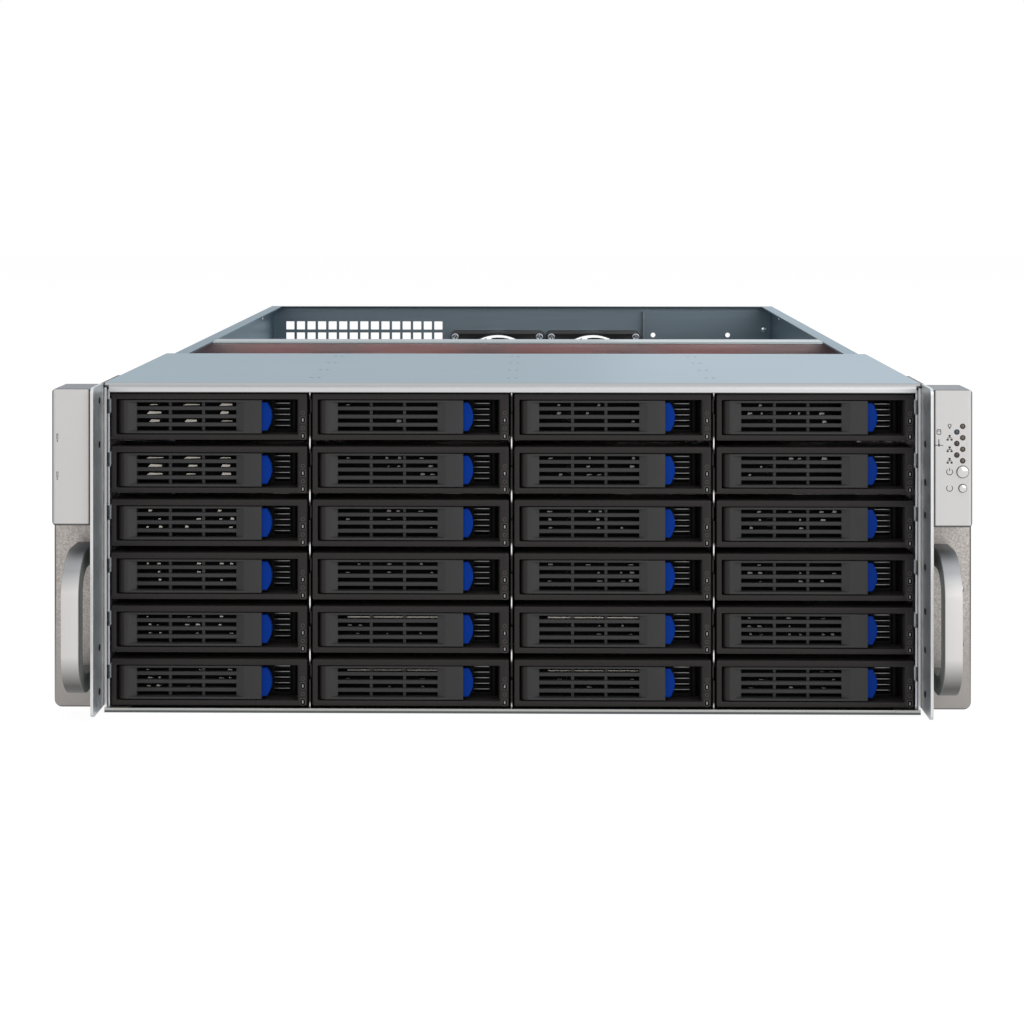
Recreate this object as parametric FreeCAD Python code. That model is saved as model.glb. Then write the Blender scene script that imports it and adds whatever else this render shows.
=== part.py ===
"""Four-unit rackmount server case with twenty-four front drive trays.

Frame: +X to the right seen from the front, +Y towards the rear, +Z up.
The origin lies on the underside of the base, half way across and half way along the case.
All sizes are in millimetres.
"""
import FreeCAD
import Part

import math
import os

Vector = FreeCAD.Vector
ALONG_X = Vector(1, 0, 0)
ALONG_Y = Vector(0, 1, 0)
ALONG_Z = Vector(0, 0, 1)
SMALL_SIDES = 8

# Case shell
RACK_WIDTH = 482.6
EAR_WIDTH = 26.3
CASE_HEIGHT = 174.0
CASE_DEPTH = 680.0
SHEET = 1.2
TOP_FLANGE = 9.0
FOOT_FLANGE = 12.0
LID_STEP = 2.4
FIT = 0.2

# Front top cover
COVER_LENGTH = 180.0
COVER_LIP = 5.0
COVER_BEND = 1.8

# Drive bays
BAY_COLUMNS = 4
BAY_ROWS = 6
BAY_FLOOR = 3.2
BAY_TOP_GAP = 2.2
DIVIDER_SHEET = 1.0
DIVIDER_SETBACK = 3.2
LEDGE_WIDTH = 2.3
LEDGE_SHEET = 1.0
NOTCH_HEIGHT = 7.6
NOTCH_DEPTH = 4.0
NOTCH_RISE = 13.7

# Drive tray bezel
TRAY_RECESS = 2.0
BEZEL_GAP = 2.9
BEZEL_ROW_GAP = 3.5
BEZEL_DEPTH = 22.0
RIM_LEFT = 2.7
RIM_RIGHT = 4.8
RIM_TOP = 3.2
RIM_BOTTOM = 2.8
POCKET_WIDTH = 19.3
POCKET_DEPTH = 13.0
POCKET_WALL = 1.5
POCKET_SLOTS = 4
POCKET_SLOT_HEIGHT = 1.9
POCKET_SLOT_PITCH = 3.8
POCKET_SLOT_WIDTH = 7.6
POST_WIDTH = 2.2
POST_DEPTH = 4.0

# Drive tray carrier
CARRIER_LENGTH = 150.0
CARRIER_SHEET = 0.8
CARRIER_RISE = 0.6
CARRIER_TOP_GAP = 3.0
CARRIER_CLEARANCE = 0.9
SLIDE_CLEARANCE = 0.3
CROSS_STRIP = 22.0

# Tray lever with its grille
LEVER_GAP = 0.4
LEVER_RECESS = 0.6
LEVER_THICK = 7.0
GRILLE_LEFT = 10.0
GRILLE_RIGHT = 13.6
GRILLE_BEVEL = 3.8
GRILLE_SINK = 2.0
GRILLE_BARS = 3
GRILLE_EDGE = 1.25
BAR_HEIGHT = 2.0
BAR_DEPTH = 3.0
RIB_COUNT = 2
RIB_WIDTH = 1.6
RIB_SETBACK = 1.4
HINGE_PIN_R = 1.2
HINGE_PIN_REACH = 1.5
PIN_CLEARANCE = 0.06

# Tray latch
LATCH_HEAD = 5.2
LATCH_BULGE = 1.3
LATCH_TAIL = 6.0
LATCH_EDGE = 1.3
LATCH_THICK = 4.2
LATCH_TRAVEL = 2.4
LATCH_CLEARANCE = 0.2

# Backplane behind the trays
BACKPLANE_GAP = 10.0
BOARD_SHEET = 1.6
BOARD_ROW_GAP = 5.1
BOARD_RISE = 0.8
BOARD_END_GAP = 3.0
BOARD_VENT_WIDTH = 34.0
BOARD_VENT_HEIGHT = 12.0
BOARD_VENT_SHIFT = 28.0
DRIVE_SOCKET_WIDTH = 42.0
DRIVE_SOCKET_HEIGHT = 6.2
DRIVE_SOCKET_DEPTH = 8.0
DRIVE_SOCKET_SHIFT = -22.0
DRIVE_SOCKET_RISE = 4.0
DATA_SOCKET_WIDTH = 24.0
DATA_SOCKET_HEIGHT = 7.0
DATA_SOCKET_DEPTH = 13.0
POWER_SOCKET_WIDTH = 21.5
POWER_SOCKET_HEIGHT = 9.0
POWER_SOCKET_DEPTH = 11.0
POWER_SOCKET_SPAN = 212.0
REAR_SOCKET_RISE = 7.0

# Fan wall and fans
FAN_WALL_SETBACK = 300.0
FAN_WALL_TOP = 22.0
FAN_WALL_FOOT = 14.0
CABLE_SLOT_WIDTH = 17.0
CABLE_SLOT_HEIGHT = 96.0
CABLE_SLOT_EDGE = 6.0
WALL_FAN_COUNT = 3
WALL_FAN_SIZE = 120.0
WALL_FAN_DEPTH = 38.0
WALL_FAN_HUB_R = 23.0
WALL_FAN_CHORD = 36.0
WALL_FAN_SPACING = 3.0
REAR_FAN_SIDE_GAP = 3.82
REAR_FAN_SHIFT = 1.0
REAR_FAN_DEPTH = 25.0
REAR_FAN_SCREW_RIM = 8.5
REAR_FAN_HUB_R = 17.0
REAR_FAN_CHORD = 24.0
REAR_FAN_OPENING_RIM = 4.5
REAR_FAN_SPACING = 1.6
REAR_FAN_DROP = 22.8
FAN_RIM = 2.0
FAN_CORNER = 4.0
FAN_STRUTS = 4
FAN_STRUT_WIDTH = 4.0
FAN_STRUT_DEPTH = 3.0
FAN_BLADES = 7
FAN_HUB_SIDES = 14
FAN_BLADE_THICK = 1.6
FAN_BLADE_PITCH = 38.0
FAN_TIP_GAP = 1.0
FAN_SETBACK = 1.5
FAN_HUB_GAP = 0.5
FAN_SHAFT_R = 2.0
FAN_SHAFT_REACH = 9.0
FAN_BORE_SIDES = 24
SHAFT_CLEARANCE = 0.05
INTAKE_SLOTS = 9
INTAKE_SLOT_HEIGHT = 8.0
INTAKE_SLOT_PITCH = 12.0
INTAKE_R = 56.0

# Rear panel
VENT_SIZE = 7.0
VENT_PITCH_X = 9.12
VENT_PITCH_Z = 9.6
VENT_COLUMNS = 15
VENT_ROWS = 3
VENT_DROP = 19.1
SLOT_COUNT = 7
SLOT_PITCH = 20.32
SLOT_WIDTH = 13.4
SLOT_OPENING = 104.0
SLOT_RISE = 12.0
SLOT_BANK_INSET = 79.5
COVER_STRIP_WIDTH = 18.6
COVER_STRIP_SHEET = 0.9
COVER_STRIP_LAP = 3.0
IO_WIDTH = 158.75
IO_HEIGHT = 44.45
IO_RISE = 7.6
IO_FROM_SLOT = 15.6

# Power supply bay in the rear panel
PSU_INSET = 65.0
PSU_WIDTH = 86.0
PSU_TOP_GAP = 22.0
PSU_FLOOR = 4.0
PSU_CUT_WIDTH = 64.0
PSU_CUT_DROP = 12.0
PSU_CUT_RISE = 20.0
PSU_PLATE_LEFT = 46.0
PSU_PLATE_EDGE = 3.0
PSU_PLATE_TOP_GAP = 3.4
PSU_PLATE_FLOOR = 3.0
PSU_PLATE_FLANGE = 8.0
PSU_HOLE_R = 2.0
PSU_HOLE_DROP = 5.0
PSU_HOLE_EDGE = 6.0
PSU_PAIR_SPACING = 64.0
PSU_FOURTH_RISE = 24.0
PSU_FOURTH_SHIFT = 10.0

# Main board studs
STUD_HEIGHT = 6.35
STUD_ACROSS = 5.0
STUD_HOLE_R = 1.5
STUD_REAR_INSET = 12.0
STUD_PITCH_X_LEFT = 157.48
STUD_PITCH_X_RIGHT = 124.46
STUD_PITCH_Y_REAR = 154.94
STUD_PITCH_Y_FRONT = 72.39
STUD_FROM_SLOTS = 235.5

# Rack ears
RACK_HOLE_INSET = 8.75
RACK_SLOT_LENGTH = 10.0
RACK_SLOT_WIDTH = 6.8
RACK_SLOT_LOW = 37.7
RACK_SLOT_STEP = 28.575
EAR_SHEET = 2.0
EAR_LEG = 42.0
EAR_FLOOR = 3.0
EAR_CORNER_R = 4.0
GUARD_SHEET = 1.5
GUARD_REACH = 27.0
GUARD_FLOOR = 4.0
GUARD_CORNER_R = 3.0
EAR_SCREWS = 4
EAR_SCREW_SETBACK = 28.0
EAR_SCREW_EDGE = 26.0
SCREW_ACROSS = 6.4
SCREW_HEAD = 2.2

# Ear housings and their controls
HOUSING_WIDTH = 20.4
HOUSING_DEPTH = 25.0
HOUSING_HEIGHT = 70.5
HOUSING_TOP_GAP = 0.5
HOUSING_WALL = 1.5
HOUSING_ROUND = 2.5
CONTROL_BOARD_SETBACK = 11.0
CONTROL_BOARD_HEIGHT = 56.0
CONTROL_BOARD_DROP = 8.0
CONTROL_X_INSET = 5.4
LAMP_R = 1.2
LAMP_COUNT = 7
LAMP_STEP = 2.95
LAMP_SHIFT = 3.0
LAMP_DROP = 18.7
LAMP_PROUD = 0.4
LAMP_CLEARANCE = 0.05
POWER_R = 2.95
POWER_DROP = 42.1
RESET_R = 1.95
RESET_DROP = 50.5
BUTTON_PROUD = 1.0
BUTTON_CHAMFER = 0.5
BUTTON_TRAVEL = 0.8
BUTTON_CLEARANCE = 0.08
BUTTON_COLLAR = 0.8
BUTTON_COLLAR_THICK = 1.0
SWITCH_SIZE = 6.0
USB_COUNT = 2
USB_LENGTH = 13.1
USB_THICK = 5.7
USB_SHELL = 0.4
USB_DEPTH = 12.0
USB_DROP = 24.7
USB_STEP = 19.6
USB_TONGUE_LENGTH = 11.0
USB_TONGUE_THICK = 1.9
USB_TONGUE_REACH = 8.5

# Front handles
HANDLE_WIDTH = 9.2
HANDLE_INSET = 3.5
HANDLE_BAR = 10.0
HANDLE_REACH = 38.0
HANDLE_FLOOR = 15.0
HANDLE_TOP_GAP = 13.0
HANDLE_ROUND = 12.0
HANDLE_CHAMFER = 1.0

# Planes that several pieces share
CASE_WIDTH = RACK_WIDTH - 2 * EAR_WIDTH
RACK_HOLE_SPACING = RACK_WIDTH - 2 * RACK_HOLE_INSET
HALF_W = CASE_WIDTH / 2
INNER_X = HALF_W - SHEET
FRONT_Y = -CASE_DEPTH / 2
REAR_Y = CASE_DEPTH / 2
BASE_TOP = SHEET
FOOT_TOP = BASE_TOP + SHEET
FLANGE_TOP = CASE_HEIGHT - LID_STEP
FLANGE_UNDER = FLANGE_TOP - SHEET
FLANGE_EDGE = HALF_W - TOP_FLANGE
FOOT_EDGE = INNER_X - FOOT_FLANGE
COVER_UNDER = CASE_HEIGHT - SHEET
BAY_PITCH_X = (CASE_WIDTH - 2 * SHEET - DIVIDER_SHEET) / BAY_COLUMNS
BAY_PITCH_Z = (CASE_HEIGHT - BAY_FLOOR - BAY_TOP_GAP) / BAY_ROWS
BEZEL_WIDTH = BAY_PITCH_X - BEZEL_GAP
BEZEL_HEIGHT = BAY_PITCH_Z - BEZEL_ROW_GAP
BOARD_HEIGHT = BAY_PITCH_Z - BOARD_ROW_GAP
TRAY_Y = FRONT_Y + TRAY_RECESS
BACKPLANE_Y = TRAY_Y + BEZEL_DEPTH + CARRIER_LENGTH + BACKPLANE_GAP
FAN_WALL_Y = FRONT_Y + FAN_WALL_SETBACK
GUARD_X = HALF_W + GUARD_SHEET
EAR_TOP = CASE_HEIGHT - EAR_FLOOR
HOUSING_X = GUARD_X + FIT
HOUSING_TOP = CASE_HEIGHT - HOUSING_TOP_GAP
HOUSING_FLOOR = HOUSING_TOP - HOUSING_HEIGHT
HOUSING_FRONT = FRONT_Y - HOUSING_DEPTH
HANDLE_HEIGHT = HOUSING_FLOOR - HANDLE_TOP_GAP - HANDLE_FLOOR
CONTROL_X = HOUSING_X + HOUSING_WIDTH - CONTROL_X_INSET
CONTROL_BOARD_Y = HOUSING_FRONT + CONTROL_BOARD_SETBACK
COLLAR_Y = HOUSING_FRONT + HOUSING_WALL + BUTTON_CLEARANCE
COLLAR_END = COLLAR_Y + BUTTON_COLLAR_THICK
SWITCH_FRONT = COLLAR_END + BUTTON_TRAVEL + FIT
SLOT_BANK_X = -HALF_W + SLOT_BANK_INSET
IO_X = SLOT_BANK_X + SLOT_PITCH * (SLOT_COUNT - 1) / 2 + IO_FROM_SLOT + IO_WIDTH / 2
WALL_FAN_Z = (FOOT_TOP + FLANGE_UNDER) / 2
PSU_X = HALF_W - PSU_INSET
PSU_HEIGHT = CASE_HEIGHT - PSU_FLOOR - PSU_TOP_GAP
PSU_CUT_HEIGHT = PSU_FLOOR + PSU_HEIGHT - PSU_CUT_DROP - PSU_CUT_RISE
PSU_PLATE_HEIGHT = FLANGE_UNDER - PSU_PLATE_TOP_GAP - PSU_PLATE_FLOOR
PSU_HOLE_LOW = PSU_FLOOR + PSU_HOLE_DROP
PSU_HOLE_HIGH = PSU_FLOOR + PSU_HEIGHT - PSU_HOLE_DROP
REAR_FAN_ROOM_X0 = SLOT_BANK_X + SLOT_PITCH * (SLOT_COUNT - 1) / 2 + COVER_STRIP_WIDTH / 2
REAR_FAN_ROOM_X1 = PSU_X - PSU_PLATE_LEFT
REAR_FAN_ROOM = REAR_FAN_ROOM_X1 - REAR_FAN_ROOM_X0 - 2 * REAR_FAN_SIDE_GAP
REAR_FAN_SIZE = (REAR_FAN_ROOM - REAR_FAN_SPACING) / 2
REAR_FAN_SCREWS = REAR_FAN_SIZE - REAR_FAN_SCREW_RIM
REAR_FAN_OPENING_R = REAR_FAN_SIZE / 2 - REAR_FAN_OPENING_RIM
REAR_FAN_X = (REAR_FAN_ROOM_X0 + REAR_FAN_ROOM_X1) / 2 + REAR_FAN_SHIFT
REAR_FAN_Z = CASE_HEIGHT - REAR_FAN_DROP - REAR_FAN_SIZE / 2


def box(x0, x1, y0, y1, z0, z1):
    """Box between two corners."""
    return Part.makeBox(x1 - x0, y1 - y0, z1 - z0, Vector(x0, y0, z0))


def rod(radius, start, axis, length):
    """Round rod from a start point along an axis."""
    return Part.makeCylinder(radius, length, start, axis)


def prism(sides, radius, start, axis, length):
    """Prism with a regular outline, its corners at the radius, from a start point along an axis."""
    corners = []
    for index in range(sides + 1):
        angle = 2 * math.pi * index / sides
        corners.append(Vector(radius * math.cos(angle), radius * math.sin(angle), 0))
    shape = Part.Face(Part.makePolygon(corners)).extrude(ALONG_Z * length)
    shape.Placement = FreeCAD.Placement(start, FreeCAD.Rotation(ALONG_Z, axis))
    return shape


def round_room(radius, clearance):
    """Corner radius of an eight-sided hole that a turning pin of the given radius clears."""
    return (radius + clearance) / math.cos(math.pi / SMALL_SIDES)


def joined(first, others):
    """One solid from pieces that meet, with flush faces merged."""
    return first.multiFuse(others).removeSplitter().Solids[0]


def cut_from(shape, tools):
    """The shape without the tools, as one solid."""
    return shape.cut(tools).removeSplitter().Solids[0]


def other_side(shape):
    """The same piece on the other side of the case."""
    return shape.mirror(Vector(0, 0, 0), ALONG_X)


def evenly(count, pitch, middle=0.0):
    """Places of a row of copies about its middle."""
    first = middle - pitch * (count - 1) / 2
    return [first + pitch * index for index in range(count)]


def plane_xz(u, v):
    return Vector(u, 0, v)


def plane_yz(u, v):
    return Vector(0, u, v)


def plane_xy(u, v):
    return Vector(u, v, 0)


def outline(points, plane):
    """Flat face with straight edges."""
    corners = [plane(u, v) for u, v in points]
    return Part.Face(Part.makePolygon(corners + corners[:1]))


def bent_section(path, sheet, bend, plane):
    """Section of a sheet or bar bent by right angles.

    The path runs along the inside of the bends with the hollow on its left.
    The bends have the inside radius bend.
    """
    normals = []
    for (u0, v0), (u1, v1) in zip(path, path[1:]):
        length = math.hypot(u1 - u0, v1 - v0)
        normals.append(((v1 - v0) / length, -(u1 - u0) / length))

    def side(distance):
        """Edges along the bends at a distance outside the inner face."""
        radius = bend + distance
        edges = []
        u, v = path[0]
        here = plane(u + distance * normals[0][0], v + distance * normals[0][1])
        for corner, before, after in zip(path[1:-1], normals, normals[1:]):
            centre_u = corner[0] - bend * (before[0] + after[0])
            centre_v = corner[1] - bend * (before[1] + after[1])
            middle = radius / math.sqrt(2)
            start = plane(centre_u + radius * before[0], centre_v + radius * before[1])
            end = plane(centre_u + radius * after[0], centre_v + radius * after[1])
            edges.append(Part.LineSegment(here, start).toShape())
            if radius > 0:
                half = plane(centre_u + middle * (before[0] + after[0]),
                             centre_v + middle * (before[1] + after[1]))
                edges.append(Part.Arc(start, half, end).toShape())
            here = end
        u, v = path[-1]
        last = plane(u + distance * normals[-1][0], v + distance * normals[-1][1])
        edges.append(Part.LineSegment(here, last).toShape())
        return edges

    inner = side(0.0)
    outer = side(sheet)
    caps = [Part.makeLine(inner[0].firstVertex(True).Point, outer[0].firstVertex(True).Point),
            Part.makeLine(inner[-1].lastVertex(True).Point, outer[-1].lastVertex(True).Point)]
    return Part.Face(Part.Wire(Part.__sortEdges__(inner + outer + caps)))


def bent_sheet(path, sheet, bend, plane, start, sweep):
    """Bent section swept straight along the third axis from a start offset."""
    section = bent_section(path, sheet, bend, plane)
    section.translate(start)
    return section.extrude(sweep)


def slot_hole(length, width, centre, depth):
    """Long hole along X with round ends, cut along Y from its centre."""
    radius = width / 2
    half = length / 2 - radius
    straight = box(centre.x - half, centre.x + half, centre.y, centre.y + depth,
                   centre.z - radius, centre.z + radius)
    ends = [rod(radius, centre + ALONG_X * shift, ALONG_Y, depth) for shift in (-half, half)]
    return joined(straight, ends)


def base_plate():
    return box(-HALF_W, HALF_W, FRONT_Y, REAR_Y, 0, BASE_TOP)


def ear_screw_places():
    """Heights of the screws that hold an ear, its guard plate and the side panel together."""
    low = EAR_FLOOR + EAR_SCREW_EDGE
    high = EAR_TOP - EAR_SCREW_EDGE
    step = (high - low) / (EAR_SCREWS - 1)
    return [low + step * index for index in range(EAR_SCREWS)]


def side_panel():
    """Right-hand side: an upright sheet, a foot strip on the base and a flange strip for the lid.

    The foot stops short of the rear panel. The flange also stops short of the front cover's lip.
    """
    strip_end = REAR_Y - SHEET - FIT
    flange_start = FRONT_Y + SHEET + COVER_BEND + FIT
    upright = box(INNER_X, HALF_W, FRONT_Y, REAR_Y, BASE_TOP, FLANGE_TOP)
    foot = box(FOOT_EDGE, INNER_X, FRONT_Y, strip_end, BASE_TOP, FOOT_TOP)
    flange = box(FLANGE_EDGE, INNER_X, flange_start, strip_end, FLANGE_UNDER, FLANGE_TOP)
    return [upright, foot, flange]


def front_top_cover():
    """Fixed cover over the trays, with a rounded front lip and hemmed side edges."""
    lip_y = FRONT_Y + SHEET
    rear_y = FRONT_Y + COVER_LENGTH
    path = [(rear_y, COVER_UNDER), (lip_y, COVER_UNDER), (lip_y, CASE_HEIGHT - COVER_LIP)]
    cover = bent_sheet(path, SHEET, COVER_BEND, plane_yz, ALONG_X * -HALF_W, ALONG_X * CASE_WIDTH)
    lip_half = INNER_X - DIVIDER_SHEET - FIT
    lip_end = box(lip_half, HALF_W + SHEET, FRONT_Y - SHEET, lip_y + COVER_BEND,
                  CASE_HEIGHT - 2 * COVER_LIP, COVER_UNDER)
    hem = box(FLANGE_EDGE, HALF_W, lip_y + COVER_BEND, rear_y, FLANGE_TOP, COVER_UNDER)
    cover = cut_from(cover, [lip_end, other_side(lip_end)])
    return joined(cover, [hem, other_side(hem)])


def bay_x(column):
    return evenly(BAY_COLUMNS, BAY_PITCH_X)[column]


def bay_z(row):
    """Height of the underside of a row's bezels, the first row on top."""
    return BAY_FLOOR + BAY_PITCH_Z * (BAY_ROWS - 1 - row)


def bay_divider(x, floor, top, ledge_sides):
    """Upright sheet between two columns, notched in front, and the ledges on it that carry the trays."""
    half = DIVIDER_SHEET / 2
    front = FRONT_Y + DIVIDER_SETBACK
    plate = box(x - half, x + half, front, BACKPLANE_Y, floor, top)
    notches = []
    ledges = []
    for row in range(BAY_ROWS):
        notch_z = bay_z(row) + NOTCH_RISE
        notches.append(box(x - SHEET, x + SHEET, front - SHEET, front + NOTCH_DEPTH,
                           notch_z, notch_z + NOTCH_HEIGHT))
        ledge_top = bay_z(row) + CARRIER_RISE - SLIDE_CLEARANCE
        for side in ledge_sides:
            near, far = sorted((x + side * half, x + side * (half + LEDGE_WIDTH)))
            ledges.append(box(near, far, TRAY_Y + BEZEL_DEPTH + FIT, BACKPLANE_Y - BACKPLANE_GAP,
                              ledge_top - LEDGE_SHEET, ledge_top))
    return [cut_from(plate, notches)] + ledges


def bay_dividers():
    """Three dividers between the columns and a liner on each side panel."""
    places = evenly(BAY_COLUMNS + 1, BAY_PITCH_X)
    pieces = bay_divider(places[0], FOOT_TOP, FLANGE_UNDER, (1,))
    for x in places[1:-1]:
        pieces += bay_divider(x, BASE_TOP, COVER_UNDER, (-1, 1))
    return pieces + bay_divider(places[-1], FOOT_TOP, FLANGE_UNDER, (-1,))


# The tray pieces are made round x = 0 with the bezel's front at y = 0 and its underside at z = 0.
WINDOW_LEFT = -BEZEL_WIDTH / 2 + RIM_LEFT
WINDOW_RIGHT = BEZEL_WIDTH / 2 - RIM_RIGHT
WINDOW_FLOOR = RIM_BOTTOM
WINDOW_TOP = BEZEL_HEIGHT - RIM_TOP
WINDOW_MIDDLE = (WINDOW_FLOOR + WINDOW_TOP) / 2
LEVER_LEFT = WINDOW_LEFT + LEVER_GAP
LEVER_RIGHT = WINDOW_RIGHT - POCKET_WIDTH
LEVER_FLOOR = WINDOW_FLOOR + LEVER_GAP
LEVER_TOP = WINDOW_TOP - LEVER_GAP
LEVER_BACK = LEVER_RECESS + LEVER_THICK
HINGE_X = LEVER_LEFT + LEVER_THICK / 2
HINGE_Y = LEVER_RECESS + LEVER_THICK / 2
GRILLE_X0 = LEVER_LEFT + GRILLE_LEFT
GRILLE_X1 = LEVER_RIGHT - GRILLE_RIGHT
GRILLE_HEIGHT = LEVER_TOP - LEVER_FLOOR - 2 * GRILLE_EDGE
SLOT_HEIGHT = (GRILLE_HEIGHT - GRILLE_BARS * BAR_HEIGHT) / (GRILLE_BARS + 1)
GRILLE_FLOOR = WINDOW_MIDDLE - GRILLE_HEIGHT / 2
LATCH_HEIGHT = LEVER_TOP - LEVER_FLOOR - 2 * LATCH_EDGE
CARRIER_HALF = (BAY_PITCH_X - DIVIDER_SHEET) / 2 - CARRIER_CLEARANCE


def hinge_pins(radius, reach):
    """Upright pins above and below the lever on its hinge line."""
    low = Vector(HINGE_X, HINGE_Y, LEVER_FLOOR)
    high = Vector(HINGE_X, HINGE_Y, LEVER_TOP)
    return [prism(SMALL_SIDES, radius, low, -ALONG_Z, reach),
            prism(SMALL_SIDES, radius, high, ALONG_Z, reach)]


def tray_bezel(full):
    """Moulded front frame with a vented finger pocket on the right of its window.

    A full bezel has its pocket vent in slots and the holes of the lever's hinge pins.
    """
    frame = box(-BEZEL_WIDTH / 2, BEZEL_WIDTH / 2, 0, BEZEL_DEPTH, 0, BEZEL_HEIGHT)
    window = box(WINDOW_LEFT, WINDOW_RIGHT, -SHEET, BEZEL_DEPTH + SHEET, WINDOW_FLOOR, WINDOW_TOP)
    frame = cut_from(frame, [window])
    wall_y = POCKET_DEPTH
    wall = box(LEVER_RIGHT, WINDOW_RIGHT, wall_y, wall_y + POCKET_WALL, WINDOW_FLOOR, WINDOW_TOP)
    post_x = LEVER_RIGHT + LATCH_HEAD + POCKET_SLOT_WIDTH
    post = box(post_x, post_x + POST_WIDTH, wall_y - POST_DEPTH, wall_y, WINDOW_FLOOR, WINDOW_TOP)
    if full:
        wall = cut_from(wall, [box(post_x - POCKET_SLOT_WIDTH, post_x, wall_y - SHEET,
                                   wall_y + POCKET_WALL + SHEET, z - POCKET_SLOT_HEIGHT / 2,
                                   z + POCKET_SLOT_HEIGHT / 2)
                               for z in evenly(POCKET_SLOTS, POCKET_SLOT_PITCH, WINDOW_MIDDLE)])
    frame = joined(frame, [wall, post])
    if full:
        frame = cut_from(frame, hinge_pins(round_room(HINGE_PIN_R, PIN_CLEARANCE),
                                           HINGE_PIN_REACH + LEVER_GAP + FIT))
    return frame


def tray_carrier():
    """Open frame behind the bezel that holds one drive: a cross strip at each end and two rails."""
    inside = CARRIER_HALF - CARRIER_SHEET
    low = CARRIER_RISE
    floor = low + CARRIER_SHEET
    top = BEZEL_HEIGHT - CARRIER_TOP_GAP
    end = BEZEL_DEPTH + CARRIER_LENGTH
    front_strip = box(-inside, inside, BEZEL_DEPTH, BEZEL_DEPTH + CROSS_STRIP, low, floor)
    rear_strip = box(-inside, inside, end - CROSS_STRIP, end, low, floor)
    rail = box(inside, CARRIER_HALF, BEZEL_DEPTH, end, low, top)
    return [front_strip, rear_strip, rail, other_side(rail)]


def tray_lever(full):
    """Swing-out handle whose middle is a grille of long bars in a bevelled hollow.

    A full lever has a round nose, hinge pins and two set-back ribs behind its bars.
    """
    half = LEVER_THICK / 2
    if full:
        nose = Part.Arc(Vector(HINGE_X, LEVER_RECESS, LEVER_FLOOR),
                        Vector(HINGE_X - half, HINGE_Y, LEVER_FLOOR),
                        Vector(HINGE_X, LEVER_BACK, LEVER_FLOOR)).toShape()
        sides = Part.makePolygon([Vector(HINGE_X, LEVER_BACK, LEVER_FLOOR),
                                  Vector(LEVER_RIGHT, LEVER_BACK, LEVER_FLOOR),
                                  Vector(LEVER_RIGHT, LEVER_RECESS, LEVER_FLOOR),
                                  Vector(HINGE_X, LEVER_RECESS, LEVER_FLOOR)])
        plan = Part.Face(Part.Wire([nose] + sides.Edges))
        lever = plan.extrude(ALONG_Z * (LEVER_TOP - LEVER_FLOOR))
    else:
        lever = box(LEVER_LEFT, LEVER_RIGHT, LEVER_RECESS, LEVER_BACK, LEVER_FLOOR, LEVER_TOP)
    sink_y = LEVER_RECESS + GRILLE_SINK
    sink_plan = outline([(GRILLE_X0 - GRILLE_BEVEL, LEVER_RECESS), (GRILLE_X0, sink_y),
                         (GRILLE_X1, sink_y), (GRILLE_X1 + GRILLE_BEVEL, LEVER_RECESS)], plane_xy)
    sink_plan.translate(ALONG_Z * GRILLE_FLOOR)
    sink = sink_plan.extrude(ALONG_Z * GRILLE_HEIGHT)
    bars_back = sink_y + BAR_DEPTH
    hollow = box(GRILLE_X0, GRILLE_X1, bars_back, LEVER_BACK + SHEET,
                 GRILLE_FLOOR, GRILLE_FLOOR + GRILLE_HEIGHT)
    middles = evenly(GRILLE_BARS + 1, SLOT_HEIGHT + BAR_HEIGHT, WINDOW_MIDDLE)
    slots = [box(GRILLE_X0, GRILLE_X1, sink_y - SHEET, bars_back + SHEET,
                 z - SLOT_HEIGHT / 2, z + SLOT_HEIGHT / 2) for z in middles]
    mouth = LATCH_TAIL + LATCH_TRAVEL + LATCH_CLEARANCE
    mouth_half_y = LATCH_THICK / 2 + LATCH_CLEARANCE
    mouth_half_z = LATCH_HEIGHT / 2 + LATCH_CLEARANCE
    latch_room = box(LEVER_RIGHT - mouth, LEVER_RIGHT + SHEET, HINGE_Y - mouth_half_y,
                     HINGE_Y + mouth_half_y, WINDOW_MIDDLE - mouth_half_z, WINDOW_MIDDLE + mouth_half_z)
    lever = cut_from(lever, [sink, hollow, latch_room] + slots)
    if not full:
        return lever
    rib_pitch = (GRILLE_X1 - GRILLE_X0) / (RIB_COUNT + 1)
    ribs = [box(x - RIB_WIDTH / 2, x + RIB_WIDTH / 2, sink_y + RIB_SETBACK, bars_back,
                GRILLE_FLOOR, GRILLE_FLOOR + GRILLE_HEIGHT)
            for x in evenly(RIB_COUNT, rib_pitch, (GRILLE_X0 + GRILLE_X1) / 2)]
    return joined(lever, ribs + hinge_pins(HINGE_PIN_R, HINGE_PIN_REACH + LEVER_GAP))


def tray_latch(full):
    """Thumb slider in the lever's end, flat on the left and bulging on the right."""
    low = WINDOW_MIDDLE - LATCH_HEIGHT / 2
    high = WINDOW_MIDDLE + LATCH_HEIGHT / 2
    left = LEVER_RIGHT - LATCH_TAIL
    right = LEVER_RIGHT + LATCH_HEAD
    shoulder = right - LATCH_BULGE
    if full:
        bulge = Part.Arc(plane_xz(shoulder, low), plane_xz(right, WINDOW_MIDDLE),
                         plane_xz(shoulder, high)).toShape().Edges
    else:
        flat = LATCH_HEIGHT / 4
        bulge = Part.makePolygon([plane_xz(shoulder, low), plane_xz(right, low + flat),
                                  plane_xz(right, high - flat), plane_xz(shoulder, high)]).Edges
    sides = Part.makePolygon([plane_xz(shoulder, high), plane_xz(left, high),
                              plane_xz(left, low), plane_xz(shoulder, low)])
    face = Part.Face(Part.Wire(bulge + sides.Edges))
    face.translate(ALONG_Y * (HINGE_Y - LATCH_THICK / 2))
    return face.extrude(ALONG_Y * LATCH_THICK)


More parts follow.
